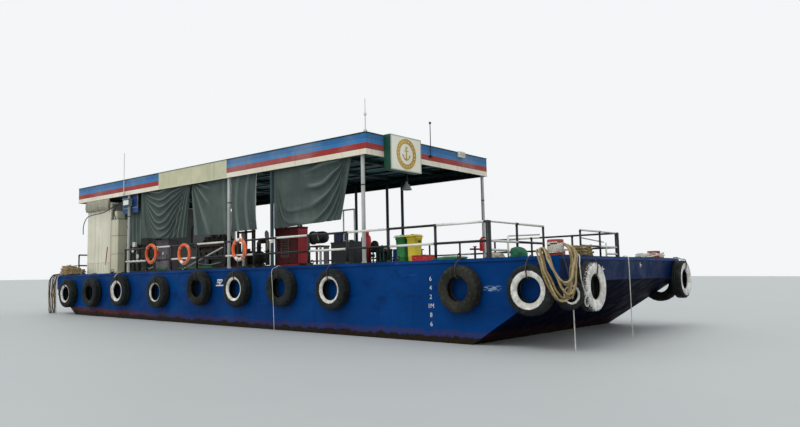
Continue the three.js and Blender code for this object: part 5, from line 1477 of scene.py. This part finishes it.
# Bins: ribbed moulded tubs with flared rims; lids with handles ride on their hinges
for name, x, tone in (("green", 5.43, "green"), ("yellow", 5.8, "yellow")):
    tub = Parts(f"bin_{name}_tub", tone, "darkPlastic", "paleLid")
    low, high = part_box(f"bin_{name}")
    c = (low + high) / 2
    half = (high.x - low.x) / 2
    levels = [(0.0, 0.72), (0.02, 0.76), (0.06, 0.78), (0.2, 0.8), (0.22, 0.83), (0.26, 0.83), (0.28, 0.81),
              (0.62, 0.88), (0.9, 0.93), (0.92, 1.0), (1.0, 1.0), (1.0, 0.94), (0.93, 0.88), (0.1, 0.74)]
    verts, m = [], 36
    for v, w in levels:
        for k in range(m):
            t = 2 * math.pi * k / m
            px, py = math.cos(t), math.sin(t)
            wide = 1 / max(abs(px), abs(py)) ** 0.82
            rib = 0.985 if (k % 9 in (4, 5) and 0.28 < v < 0.9) else 1.0
            across = wide * half * w * 0.965 * rib
            verts.append((c.x + px * across, c.y + py * across, low.z + (high.z - low.z) * v))
    tub.mesh(verts, ringFaces(len(levels) - 1, m, True), 0, True)
    for k in (-1, 1):
        tub.box((c.x + k * half * 0.94 - 0.006, c.y - 0.05, high.z - 0.14),
                (c.x + k * half * 0.94 + 0.006, c.y + 0.05, high.z - 0.1), 1)
    tub.done(replaces=[f"bin_{name}"])
    nodePaint("paleLid" if name == "green" else "yellow", f"bin_{name}_lid")
    low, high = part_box(f"bin_{name}_lid")
    c = (low + high) / 2
    lid = Parts(f"bin_{name}_lid_handle", "darkPlastic", tone)
    lid.tube([(c.x - 0.05, c.y - 0.07, high.z - 0.002), (c.x - 0.045, c.y - 0.07, high.z + 0.012),
              (c.x + 0.045, c.y - 0.07, high.z + 0.012), (c.x + 0.05, c.y - 0.07, high.z - 0.002)], 0.006, 8)
    for k in (-1, 0, 1):
        lid.box((c.x - 0.09, c.y + 0.03 + k * 0.03, high.z - 0.001), (c.x + 0.09, c.y + 0.038 + k * 0.03, high.z + 0.004), 1)
    lid.done(body=f"bin_{name}_lid", edge=0.001)
print("bins")

# Hatch: a ribbed lid with handles, and dogs and brackets on its coaming
low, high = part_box("hatch_lid")
hatch = {"x": (low.x + high.x) / 2, "y": (low.y + high.y) / 2, "top": high.z - 0.0395, "half": (0.29, 0.25), "dogs": 0.337}
x, y, top = hatch["x"], hatch["y"], hatch["top"]
a, b = hatch["half"]
lid = Parts("hatch_lid_details", "hullTrim", "iron", "galvanised")
for x0, x1, y0, y1 in ((-a, a, -b, 0.01 - b), (-a, a, b, b + 0.01), (-a, 0.01 - a, 0.01 - b, b), (a - 0.01, a, 0.01 - b, b)):
    lid.box((x + x0, y + y0, top), (x + x1, y + y1, top + 0.008))
for dy in (-0.2, 0.2):
    lid.tube([(x + 0.21, y + dy, top), (x + 0.21, y + dy, top + 0.05), (x + 0.06, y + dy, top + 0.05),
              (x + 0.06, y + dy, top)], 0.008, 8, 2)
lid.lathe([(0.11, 0), (0.11, 0.01), (0.09, 0.014), (0.0, 0.016)], (x, y, top), sides=28)
lid.done(body="hatch_lid", edge=0.001)
coaming = Parts("hatch_coaming_details", "hullTrim", "iron")
for out in (-1, 1):
    face = y + out * hatch["dogs"]
    for dx in (-0.19, 0.01, 0.21):
        coaming.box((x + dx - 0.004, face, stand), (x + dx + 0.004, face + out * 0.07, 2.2))
    for dx in (-0.14, 0.16):
        coaming.lathe([(0.012, 0), (0.012, 0.08), (0.02, 0.08), (0.02, 0.1), (0, 0.1)],
                      (x + dx, face + out * 0.03, 2.33), sides=12, look=1)
coaming.done(edge=0.001)


def machine(name, looks, slot, boxes=(), rods=(), turned=(), replaces=(), edge=0.004):
    # boxes (low, high, material), rods (points, radius, material) and turned parts (profile, centre, axis, material)
    made = Parts(name, *looks)
    for low, high, look in boxes:
        made.box(low, high, look)
    for points, radius, look in rods:
        made.tube(points, radius, 14, look)
    for profile, centre, axis, look in turned:
        made.lathe(profile, centre, axis, 28, look)
    made.done(replaces=replaces, edge=edge)


def wheel(radius, thick):
    # a pulley or hand wheel: rim, dished web and hub
    return [(0, 0), (radius * 0.22, 0), (radius * 0.25, thick * 0.3), (radius * 0.78, thick * 0.3), (radius, 0), (radius, thick),
            (radius * 0.8, thick), (radius * 0.76, thick * 0.6), (radius * 0.25, thick * 0.6),
            (radius * 0.22, thick * 1.2), (0, thick * 1.2)]


def flange(radius, thick=0.02):
    return [(0, 0), (radius, 0), (radius, thick), (0, thick)]


# Generator set: canopied, with a salmon-grey louvre panel, doors, feet and an exhaust; its housing is in a darker red
# as painted shade, and its bow end in a brighter red as painted highlight
genset = {"aft": -0.24, "fore": 0.84, "out": -1.6, "in": -1.15, "top": 3.34, "split": 0.04, "louvre": (0.075, 0.4, 2.42, 2.96)}
x0, x1, y0, y1, top = (genset[k] for k in ("aft", "fore", "out", "in", "top"))
lx0, lx1, lz0, lz1 = genset["louvre"]
machine(**{
    "name": "generator_set", "replaces": ["generator"], "slot": "machine_red",
    "looks": ["machineRed", "salmon", "black", "galvanised", "paintedShadeRed", "paintedHighlightRed"],
    "boxes": [((x0, y0, stand), (x1, y0 + 0.08, stand + 0.12), 0), ((x0, y1 - 0.08, stand), (x1, y1, stand + 0.12), 2)]
    + [((x0 + k * 0.5, y0 + 0.08, stand), (x0 + k * 0.5 + 0.08, y1 - 0.08, stand + 0.1), 2) for k in range(3)]
    + [((x0 + 0.01, y0 + 0.012, stand + 0.12), (genset["split"], y1 - 0.01, top - 0.06), 4),
       ((genset["split"] + 0.002, y0 + 0.012, stand + 0.12), (x1 - 0.02, y1 - 0.01, top - 0.06), 4),
       ((x1 - 0.02, y0 + 0.02, stand + 0.13), (x1 - 0.008, y1 - 0.02, top - 0.07), 5),
       ((x0 + 0.005, y0 + 0.005, top - 0.058), (x1 - 0.005, y1 - 0.005, top - 0.004), 4),
       ((genset["split"] + 0.02, y0, stand + 0.14), (lx1 + 0.03, y0 + 0.012, lz0 - 0.03), 4),
       ((lx1 + 0.05, y0, stand + 0.14), (x1 - 0.03, y0 + 0.012, top - 0.09), 4),
       ((genset["split"] + 0.02, y0, lz1 + 0.03), (lx1 + 0.03, y0 + 0.012, top - 0.09), 4),
       ((lx0, y0 + 0.002, lz0), (lx1, y0 + 0.012, lz1), 2),
       ((x0 + 0.04, y0, stand + 0.3), (genset["split"] - 0.03, y0 + 0.012, 3.1), 4),
       ((lx1 + 0.09, y0 - 0.004, 2.7), (lx1 + 0.13, y0 + 0.004, 2.84), 2)]
    + [((a, y0 - 0.003, b), (c, y0 + 0.01, d), 1) for a, c, b, d in (
        (lx0 - 0.02, lx1 + 0.02, lz0 - 0.02, lz0), (lx0 - 0.02, lx1 + 0.02, lz1, lz1 + 0.02),
        (lx0 - 0.02, lx0, lz0, lz1), (lx1, lx1 + 0.02, lz0, lz1))],
    "turned": [([(0.045, 0), (0.045, 0.19), (0.052, 0.195), (0.052, 0.215), (0.036, 0.215), (0.036, 0.02)],
                (0.56, -1.3, top - 0.005), toTop, 3),
               (flange(0.075, 0.012), (0.56, -1.3, top - 0.006), toTop, 2)],
})
grow("generator_louvre", "slats", "salmon", [((lx0 + lx1) / 2, y0 + 0.004, lz0 + 0.03)], outs=[(0, 1, 0)],
     slot="machine_red", Count=10, Pitch=0.053, Length=lx1 - lx0 - 0.006, Depth=0.024, Thickness=0.012, Tilt=-0.6)
grow("generator_end_louvre", "slats", "paintedHighlightRed", [(x1 - 0.008, (y0 + y1) / 2, 2.5)], outs=[(-1, 0, 0)],
     slot="machine_red", Count=10, Pitch=0.07, Length=0.32, Depth=0.016, Thickness=0.004, Tilt=-0.6)

# Pump set on one skid: pipework with valves, a gauge cabinet, a diesel, a motor with its pump, a stack and a post frame
machine(**{
    "name": "pump_skid", "replaces": ["pump_set"], "slot": "machine_red",
    "looks": ["iron", "rustySteel", "paintedShadeGrey", "netGreen"],
    "boxes": [((-7.5, -2.48, stand), (-0.45, -2.38, stand + 0.089), 0), ((-6.1, -1.6, stand), (-0.45, -1.5, stand + 0.089), 0)]
    + [((x, -2.38, stand), (x + 0.1, -1.6, stand + 0.08), 0) for x in (-6.1, -4.7, -3.5, -1.95, -0.55)]
    + [((-1.75, -2.15, stand + 0.08), (-0.45, -1.45, stand + 0.1), 1), ((-1.97, -2.25, stand), (-0.47, -2.13, stand + 0.06), 1)]
    + [((x - 0.03, -2.23, stand), (x + 0.03, -2.17, 3.28), 1) for x in (-1.3, -0.9, -0.5)]
    + [((-1.33, -2.235, 3.2), (-0.47, -2.165, 3.26), 1), ((-1.33, -2.215, 2.5), (-0.47, -2.185, 2.56), 1),
       ((-5.6, -2.47, stand + 0.09), (-4.95, -2.39, stand + 0.16), 3),
       ((-4.3, -2.47, stand + 0.09), (-2.3, -2.4, stand + 0.14), 3),
       ((-5.4, -2.4, stand + 0.09), (-5.05, -2.2, stand + 0.13), 3)],
})
pipes = {"uprights": (-7.4, -7.08, -6.76), "y": -2.43, "radius": 0.0448, "levels": (2.52, 2.98), "top": 3.16}
flanged = [(flange(0.075), (x, pipes["y"], z - 0.01), toTop, 0) for x in pipes["uprights"] for z in (2.3, 2.75, 3.13)]
flanged += [(flange(0.07), (x, -2.39, z), toBow, 0) for x in (-6.6, -6.1, -5.72) for z in pipes["levels"]]
machine(**{
    "name": "pipework", "slot": "black_steel", "edge": 0, "looks": ["iron", "white", "galvanised", "rustySteel", "lampShell"],
    "rods": [([(x, pipes["y"], stand + 0.08), (x, pipes["y"], pipes["top"])], pipes["radius"], 0) for x in pipes["uprights"]]
    + [([(-7.4, -2.39, z), (-5.64, -2.39, z)], 0.0378, 0) for z in pipes["levels"]]
    + [([(-7.24, -2.36, 2.15), (-7.24, -2.36, 3.1)], 0.018, 2), ([(-6.92, -2.46, 2.2), (-6.92, -2.46, 2.95)], 0.014, 2),
       ([(-6.4, -2.4, 2.56), (-6.4, -2.4, 2.95)], 0.03, 3), ([(-6.0, -2.4, 2.14), (-6.0, -2.4, 2.52)], 0.03, 3),
       ([(-6.55, -2.42, 2.2), (-6.3, -2.44, 2.24), (-6.05, -2.43, 2.2), (-5.8, -2.44, 2.25)], 0.025, 2)],
    "turned": flanged + [(wheel(0.085, 0.018), (x, -2.5, z), toStarboard, look) for x, z, look in (
        (-7.4, 2.62, 0), (-7.08, 2.9, 1), (-6.76, 2.66, 1), (-6.4, 2.98, 0), (-6.0, 2.52, 3), (-5.75, 2.98, 1))]
    + [([(0.02, 0), (0.02, 0.06), (0, 0.06)], (x, -2.44, z), toStarboard, 0)
       for x, z in ((-7.4, 2.62), (-7.08, 2.9), (-6.76, 2.66))],
    "boxes": [((-6.62, -2.8, 3.0), (-6.45, -2.72, 3.17), 4), ((-6.56, -2.72, 3.04), (-6.52, -2.38, 3.08), 0),
              ((-7.5, -2.45, 3.05), (-5.62, -2.42, 3.07), 0)],
})
gauges = [(-5.44, 2.72, 0.085, 1), (-5.18, 2.72, 0.05, 2), (-5.44, 2.48, 0.05, 3), (-5.2, 2.5, 0.035, 2)]
machine(**{
    "name": "gauge_cabinet", "slot": "machine_grey", "looks": ["mauveGrey", "machineRed", "white", "black", "yellow"],
    "boxes": [((-5.65, -2.44, stand + 0.08), (-4.85, -2.0, 3.16), 0), ((-5.6, -2.45, 2.2), (-4.9, -2.44, 3.1), 0),
              ((-5.65, -2.45, 3.162), (-4.85, -1.995, 3.2), 0), ((-5.62, -2.452, 2.86), (-5.5, -2.44, 3.0), 4)],
    "turned": [([(r, 0), (r, 0.02), (r * 0.85, 0.024), (r * 0.82, 0.012), (0, 0.012)], (x, -2.448, z), toStarboard,
                look) for x, z, r, look in gauges],
    "rods": [([(-4.93, -2.45, 2.5), (-4.93, -2.48, 2.5), (-4.93, -2.48, 2.66), (-4.93, -2.45, 2.66)], 0.01, 3)],
})
exhaust = [(-3.2 + 0.29 * k, -2.16, 3.0) for k in range(5)]
machine(**{
    "name": "diesel", "slot": "machine_grey", "looks": ["black", "darkBrown", "galvanised", "rustySteel", "iron", "mauveGrey"],
    "boxes": [((-3.44, -2.2, stand + 0.08), (-1.93, -1.6, 2.42), 0), ((-3.42, -2.26, 2.42), (-1.95, -1.62, 2.72), 0),
              ((-3.3, -2.2, 2.72), (-2.07, -1.67, 2.96), 1), ((-3.26, -2.14, 2.96), (-2.1, -1.75, 3.1), 4),
              ((-1.97, -2.3, 2.2), (-1.925, -1.58, 2.94), 0)]
    + [((-3.24 + 0.29 * k, -2.1, 3.1), (-3.02 + 0.29 * k, -1.8, 3.19), 1) for k in range(4)]
    + [((-3.4 + 0.3 * k, -2.3, 2.5), (-3.2 + 0.3 * k, -2.26, 2.68), 4) for k in range(5)],
    "rods": [([(x, y - 0.02, z - 0.24), (x, y - 0.1, z - 0.1), (x, y - 0.03, z + 0.02), (x, y + 0.05, z + 0.06)],
              0.02, 4) for x, y, z in exhaust]
    + [([(-3.36, -2.28, 2.86), (-2.6, -2.3, 2.88), (-1.99, -2.28, 2.86)], 0.035, 3),
       ([(-2.35, -1.95, 3.1), (-2.35, -1.95, 3.245)], 0.05, 5),
       ([(-3.3, -2.29, 2.3), (-2.7, -2.31, 2.24), (-2.1, -2.29, 2.3)], 0.016, 2)],
    "turned": [(wheel(0.2, 0.06), (-3.46, -1.93, 2.5), toBow, 0), (wheel(0.1, 0.05), (-3.46, -2.1, 2.84), toBow, 4),
               ([(0.07, 0), (0.07, 0.16), (0.05, 0.18), (0, 0.18)], (-2.85, -2.27, 2.44), (0, 0, -1), 5),
               ([(0.09, 0), (0.1, 0.02), (0.1, 0.2), (0.085, 0.23), (0, 0.23)], (-2.92, -1.95, 3.02), toTop, 1)],
})
machine(**{
    "name": "motor_pump", "slot": "machine_grey", "looks": ["black", "iron", "lightGrey", "rustySteel", "hoseGrey"],
    "turned": [([(0, 0), (0.205, 0), (0.209, 0.02), (0.209, 0.53), (0.2, 0.558), (0, 0.558)], (-1.68, -1.8, 2.44), toBow, 0),
               ([(0.06, 0), (0.06, 0.24), (0, 0.24)], (-1.13, -1.8, 2.44), toBow, 1),
               ([(0.0, 0), (0.15, 0), (0.225, 0.05), (0.23, 0.14), (0.225, 0.23), (0.15, 0.278), (0, 0.28)],
                (-0.9, -1.8, 2.4), toBow, 1),
               (flange(0.11), (-0.76, -1.8, 2.72), toTop, 1), (flange(0.11), (-0.34, -1.8, 2.6), toTop, 1),
               ([(0.0598, 0), (0.0598, 0.9), (0.085, 0.95), (0.09, 1.04), (0.07, 1.1), (0.04, 1.12), (0, 1.12)],
                (-1.15, -2.085, 2.15), toTop, 2),
               (wheel(0.09, 0.02), (-0.55, -1.93, 2.9), toStarboard, 3)],
    "rods": [([(-0.76, -1.8, 2.5), (-0.76, -1.8, 2.9), (-0.72, -1.8, 2.93), (-0.34, -1.8, 2.93)], 0.0695, 1),
             ([(-0.34, -1.8, 2.93), (-0.34, -1.8, 2.17)], 0.0695, 1),
             ([(-1.15, -2.085, 3.1), (-1.08, -2.1, 3.12), (-1.0, -2.12, 3.08)], 0.03, 2),
             ([(-0.33, -1.82, 2.95), (-0.34, -1.86, 3.1), (-0.32, -1.88, 3.19), (-0.27, -1.9, 3.22),
               (-0.22, -1.91, 3.18), (-0.2, -1.91, 3.08), (-0.2, -1.91, 2.85), (-0.22, -1.9, 2.72),
               (-0.28, -1.87, 2.64)], 0.042, 4)],
    "boxes": [((-1.6, -1.96, 2.16), (-1.2, -1.64, 2.25), 0), ((-1.5, -1.9, 2.645), (-1.3, -1.7, 2.73), 0),
              ((-0.88, -1.95, 2.16), (-0.64, -1.65, 2.22), 1)],
})


def fins(name, centre, radius, length, thick):
    # cooling fins round a motor that lies along the barge
    x, y, z = centre
    grow(name, "slats", "black", [(x, y + b, z + a) for a, b in circle(24, radius)], outs=[(0, -a, b) for a, b in circle(24)],
         slot="machine_grey", Count=1, Pitch=0.01, Length=length, Depth=0.004, Thickness=thick, Tilt=0.0)


fins("motor_fins", (-1.4, -1.8, 2.44), 0.208, 0.42, 0.012)

# Deck gear: a motor on legs, a black tank, a navy switch box and a white hose frame
machine(**{
    "name": "deck_gear", "replaces": ["deck_box"], "slot": "machine_grey",
    "looks": ["black", "mauveGrey", "navy", "white", "rustySteel", "lightGrey"],
    "boxes": [((1.9, -2.2, stand), (2.85, -2.14, stand + 0.06), 5), ((1.9, -1.9, stand), (2.85, -1.84, stand + 0.06), 4)]
    + [((x, y, stand + 0.06), (x + 0.05, y + 0.05, 2.66), look)
       for x, y, look in ((1.92, -2.19, 5), (2.38, -2.19, 5), (1.92, -1.89, 4), (2.38, -1.89, 4))]
    + [((1.92, -2.2, 2.62), (2.44, -1.82, 2.66), 4), ((2.55, -2.19, stand + 0.06), (2.72, -2.14, 2.62), 1),
       ((2.8, -2.14, stand), (3.67, -1.71, 2.69), 0), ((2.79, -2.15, 2.68), (3.68, -1.7, 2.72), 0),
       ((2.83, -2.05, 2.72), (3.04, -1.75, 2.97), 2), ((2.86, -2.056, 2.75), (3.01, -2.05, 2.94), 2)],
    "turned": [([(0, 0), (0.15, 0), (0.165, 0.02), (0.165, 0.5), (0.15, 0.54), (0, 0.54)], (1.905, -2.0, 2.9), toBow, 0),
               ([(0.2, 0), (0.2, 0.03), (0, 0.03)], (1.93, -2.0, 2.9), toBow, 0),
               ([(0.07, 0), (0.07, 0.05), (0, 0.05)], (3.4, -1.9, 2.715), toTop, 0)],
    "rods": [([(x, -1.9, 2.72), (x, -1.9, 3.65)], 0.0218, 3) for x in (3.08, 3.5)]
    + [([(3.08, -1.9, 3.63), (3.5, -1.9, 3.63)], 0.0218, 3)]
    + [([(3.12, -1.93, 2.76), (3.46, -1.93, 2.76)], 0.018, 3),
       ([(2.1, -2.2, 3.0), (2.3, -2.19, 3.02), (2.35, -2.18, 2.8)], 0.014, 5)],
})
fins("deck_motor_fins", (2.2, -2.0, 2.9), 0.168, 0.34, 0.016)

# Gas bottle with its collar and strap, and the low rack of scrap beside it
machine(**{
    "name": "gas_bottle", "replaces": ["gas_bottle_rack"], "slot": "machine_red",
    "looks": ["signalRed", "galvanised", "rustySteel", "rackGreen", "darkBrown", "lightGrey"],
    "turned": [([(0.13, 0), (0.145, 0.01), (0.1495, 0.03), (0.1495, 0.76), (0.14, 0.83), (0.11, 0.88), (0.06, 0.9),
                 (0.045, 0.91), (0.045, 0.95), (0.03, 0.955), (0.03, 1.0), (0, 1.0)], (3.12, -1.0, stand), toTop, 0),
               ([(0.085, 0.0), (0.09, 0.02), (0.09, 0.1), (0.085, 0.115), (0.08, 0.1), (0.08, 0.0)],
                (3.12, -1.0, stand + 0.885), toTop, 0),
               (wheel(0.04, 0.015), (3.12, -1.0, stand + 0.995), toTop, 1),
               (wheel(0.14, 0.05), (3.62, -1.17, 2.62), toStarboard, 4),
               ([(0.05, 0), (0.06, 0.02), (0.06, 0.17), (0.05, 0.2), (0, 0.2)], (3.33, -1.42, stand), toTop, 5)],
    "boxes": [((3.24, -1.04, 2.3), (3.42, -0.96, 2.38), 2), ((3.4, -1.2, stand), (3.95, -0.8, stand + 0.04), 3),
              ((3.4, -0.83, stand + 0.04), (3.95, -0.8, 2.52), 3), ((3.43, -1.16, 2.45), (3.92, -0.84, 2.52), 4),
              ((3.47, -1.12, 2.52), (3.72, -0.9, 2.56), 4), ((3.78, -1.15, 2.52), (3.9, -0.95, 2.555), 1)]
    + [((x, -1.2, stand + 0.04), (x + 0.035, -1.165, 2.55), 3) for x in (3.4, 3.53, 3.66, 3.79, 3.915)]
    + [((3.4, -1.2, z), (3.95, -1.185, z + 0.03), 3) for z in (2.14, 2.42, 2.52)],
    "rods": [([(3.45, -1.1, 2.56), (3.6, -1.05, 2.6), (3.8, -1.1, 2.57)], 0.015, 2),
             ([(3.5, -0.95, 2.56), (3.75, -1.0, 2.62)], 0.018, 4)],
})
low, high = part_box("tool_case")
case = Parts("tool_box", "signalRed", "galvanised", "black")
case.box((low.x + 0.004, low.y + 0.004, low.z), (high.x - 0.004, high.y - 0.004, low.z + 0.12), 0)
case.box((low.x, low.y, low.z + 0.122), (high.x, high.y, high.z - 0.016), 0)
for x in (low.x + 0.12, high.x - 0.12):
    case.box((x - 0.02, low.y, low.z + 0.09), (x + 0.02, low.y + 0.006, low.z + 0.15), 1)
handle = [(low.x + 0.18, -0.018), (low.x + 0.18, -0.008), (high.x - 0.18, -0.008), (high.x - 0.18, -0.018)]
case.tube([(x, low.y + 0.16, high.z + dz) for x, dz in handle], 0.006, 8, 2)
case.done(replaces=["tool_case"], edge=0.004)

# Small deck gear: a valve post, an extinguisher on the port post, a lamp under the canopy and a pale hose end
machine(**{
    "name": "deck_small_gear", "slot": "machine_grey",
    "looks": ["black", "signalRed", "lightGrey", "galvanised", "lampShell", "navy"],
    "rods": [([(7.86, -2.5, stand), (7.86, -2.5, 2.37)], 0.026, 5), ([(7.8, -2.62, 2.31), (7.92, -2.38, 2.31)], 0.02, 0),
             ([(1.97, -3.47, 2.69), (1.97, -3.47, 2.9)], 0.022, 4)],
    "turned": [(flange(0.045, 0.022), (7.86, -2.5, 2.36), toTop, 1), (flange(0.08, 0.014), (7.86, -2.5, stand), toTop, 0),
               ([(0.0, 0), (0.07, 0), (0.075, 0.02), (0.075, 0.36), (0.05, 0.4), (0.02, 0.42), (0.02, 0.45),
                 (0, 0.45)], (4.77, 2.7, 2.48), toTop, 1),
               ([(0.16, 0), (0.15, 0.03), (0.08, 0.16), (0.04, 0.2), (0.03, 0.27), (0, 0.27)], (3.5, 0.5, 4.38), toTop, 4)],
    "boxes": [((4.74, 2.77, 2.55), (4.8, 2.8, 2.85), 3), ((3.47, 0.47, 4.64), (3.53, 0.53, 5.175), 0),
              ((7.03, -2.62, stand), (7.3, -2.4, 2.17), 2)],
})


def heap(name, material, centre, half, tall, seed):
    # a slack heap of net or cloth: a lumpy mound that is flat where it lies
    rows, around = 14, 36
    verts = []
    for i in range(rows + 1):
        rise = i / rows
        for k in range(around):
            t = 2 * math.pi * k / around
            wide = math.cos(rise * math.pi / 2) ** 0.6
            lump = 1 + 0.35 * noise.noise(Vector((math.cos(t) * 2.1 + seed, math.sin(t) * 2.1, rise * 2.5))) \
                + 0.12 * noise.noise(Vector((math.cos(t) * 7 + seed, math.sin(t) * 7, rise * 8)))
            verts.append((centre[0] + half[0] * wide * lump * math.cos(t), centre[1] + half[1] * wide * lump * math.sin(t),
                          stand + tall * math.sin(rise * math.pi / 2) * (0.85 + 0.15 * lump if i else 0)))
    mound = Parts(name, material)
    mound.mesh(verts, ringFaces(rows, around, True), 0, True)
    mound.done()


heap("net_heap_bow", "netGreen", (9.2, -2.86), (0.16, 0.26), 0.23, 3.0)
heap("net_heap_side", "netGreen", (7.2, -2.6), (0.56, 0.14), 0.1, 5.0)
heap("canvas_heap", "paleCloth", (8.0, -1.9), (0.3, 0.2), 0.17, 9.0)
print("machines")

# Floodlight, notice board and aerials
low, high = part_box("floodlight")
flood = Parts("floodlight_head", "greyPlastic", "lamp", "black", "galvanised")
flood.box((low.x + 0.02, low.y + 0.03, low.z + 0.04), (high.x - 0.02, high.y, high.z - 0.03), 0)
flood.box((low.x, low.y + 0.004, high.z - 0.05), (high.x, high.y, high.z - 0.02), 0)
flood.box((low.x + 0.05, low.y + 0.022, low.z + 0.07), (high.x - 0.05, low.y + 0.032, high.z - 0.07), 1)
for z0, z1 in ((low.z + 0.04, low.z + 0.07), (high.z - 0.07, high.z - 0.05)):
    flood.box((low.x + 0.02, low.y + 0.016, z0), (high.x - 0.02, low.y + 0.032, z1), 2)
for k in range(8):
    x = low.x + 0.05 + k * 0.045
    flood.box((x, high.y, low.z + 0.06), (x + 0.005, high.y, high.z - 0.05), 0)
flood.done(replaces=["floodlight"], edge=0.003)
nodePaint("boardBlue", "notice_board")
board = Parts("notice_board_frame", "galvanised", "boardBlue")
low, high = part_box("notice_board")
for x0, x1, z0, z1 in ((low.x, high.x, low.z, low.z + 0.025), (low.x, high.x, high.z - 0.025, high.z),
                       (low.x, low.x + 0.025, low.z, high.z), (high.x - 0.025, high.x, low.z, high.z)):
    board.box((x0, low.y - 0.004, z0), (x1, high.y + 0.002, z1), 0)
board.box((low.x, low.y, 4.25), (high.x, high.y - 0.006, low.z - 0.003), 1)
board.done(edge=0.001)
nodePaint("white", "aerial_bow", "aerial_aft")
nodePaint("darkPlastic", "aerial_middle")
print("fittings")

# Water plane at the waterline, soft sun from the starboard quarter, pale sky
floor = bpy.data.meshes.new("floor")
reach = 120.0
floor.from_pydata([(x, y, water["level"] + water["trim"] * x)
                   for x, y in ((-reach, -reach), (reach, -reach), (reach, reach), (-reach, reach))], [], [(0, 1, 2, 3)])
ground = link("floor", floor)
g = Shade("pale_floor")
g.set(Base_Color=g.add("mix", g.add("noise", 3300, 3), "#a9aeb0", "#b0b5b6"), Roughness=0.6)
floor.materials.append(g.material)

world = bpy.data.worlds.new("sky")
world.use_nodes = True
world.node_tree.nodes["Background"].inputs[0].default_value = srgb("#f4f6f7")
world.node_tree.nodes["Background"].inputs[1].default_value = 1.0
bpy.context.scene.world = world
bpy.context.scene.view_settings.view_transform = "Standard"


def addSun(name, towards, power, size, tone):
    data = bpy.data.lights.new(name, "SUN")
    data.energy = power
    data.angle = math.radians(size)
    data.color = srgb(tone)[:3]
    made = bpy.data.objects.new(name, data)
    made.rotation_euler = Vector(towards).to_track_quat("-Z", "Y").to_euler()
    bpy.context.scene.collection.objects.link(made)


addSun("sun", (0.12, 0.55, -0.8), 0.9, 40, "#fffaf2")
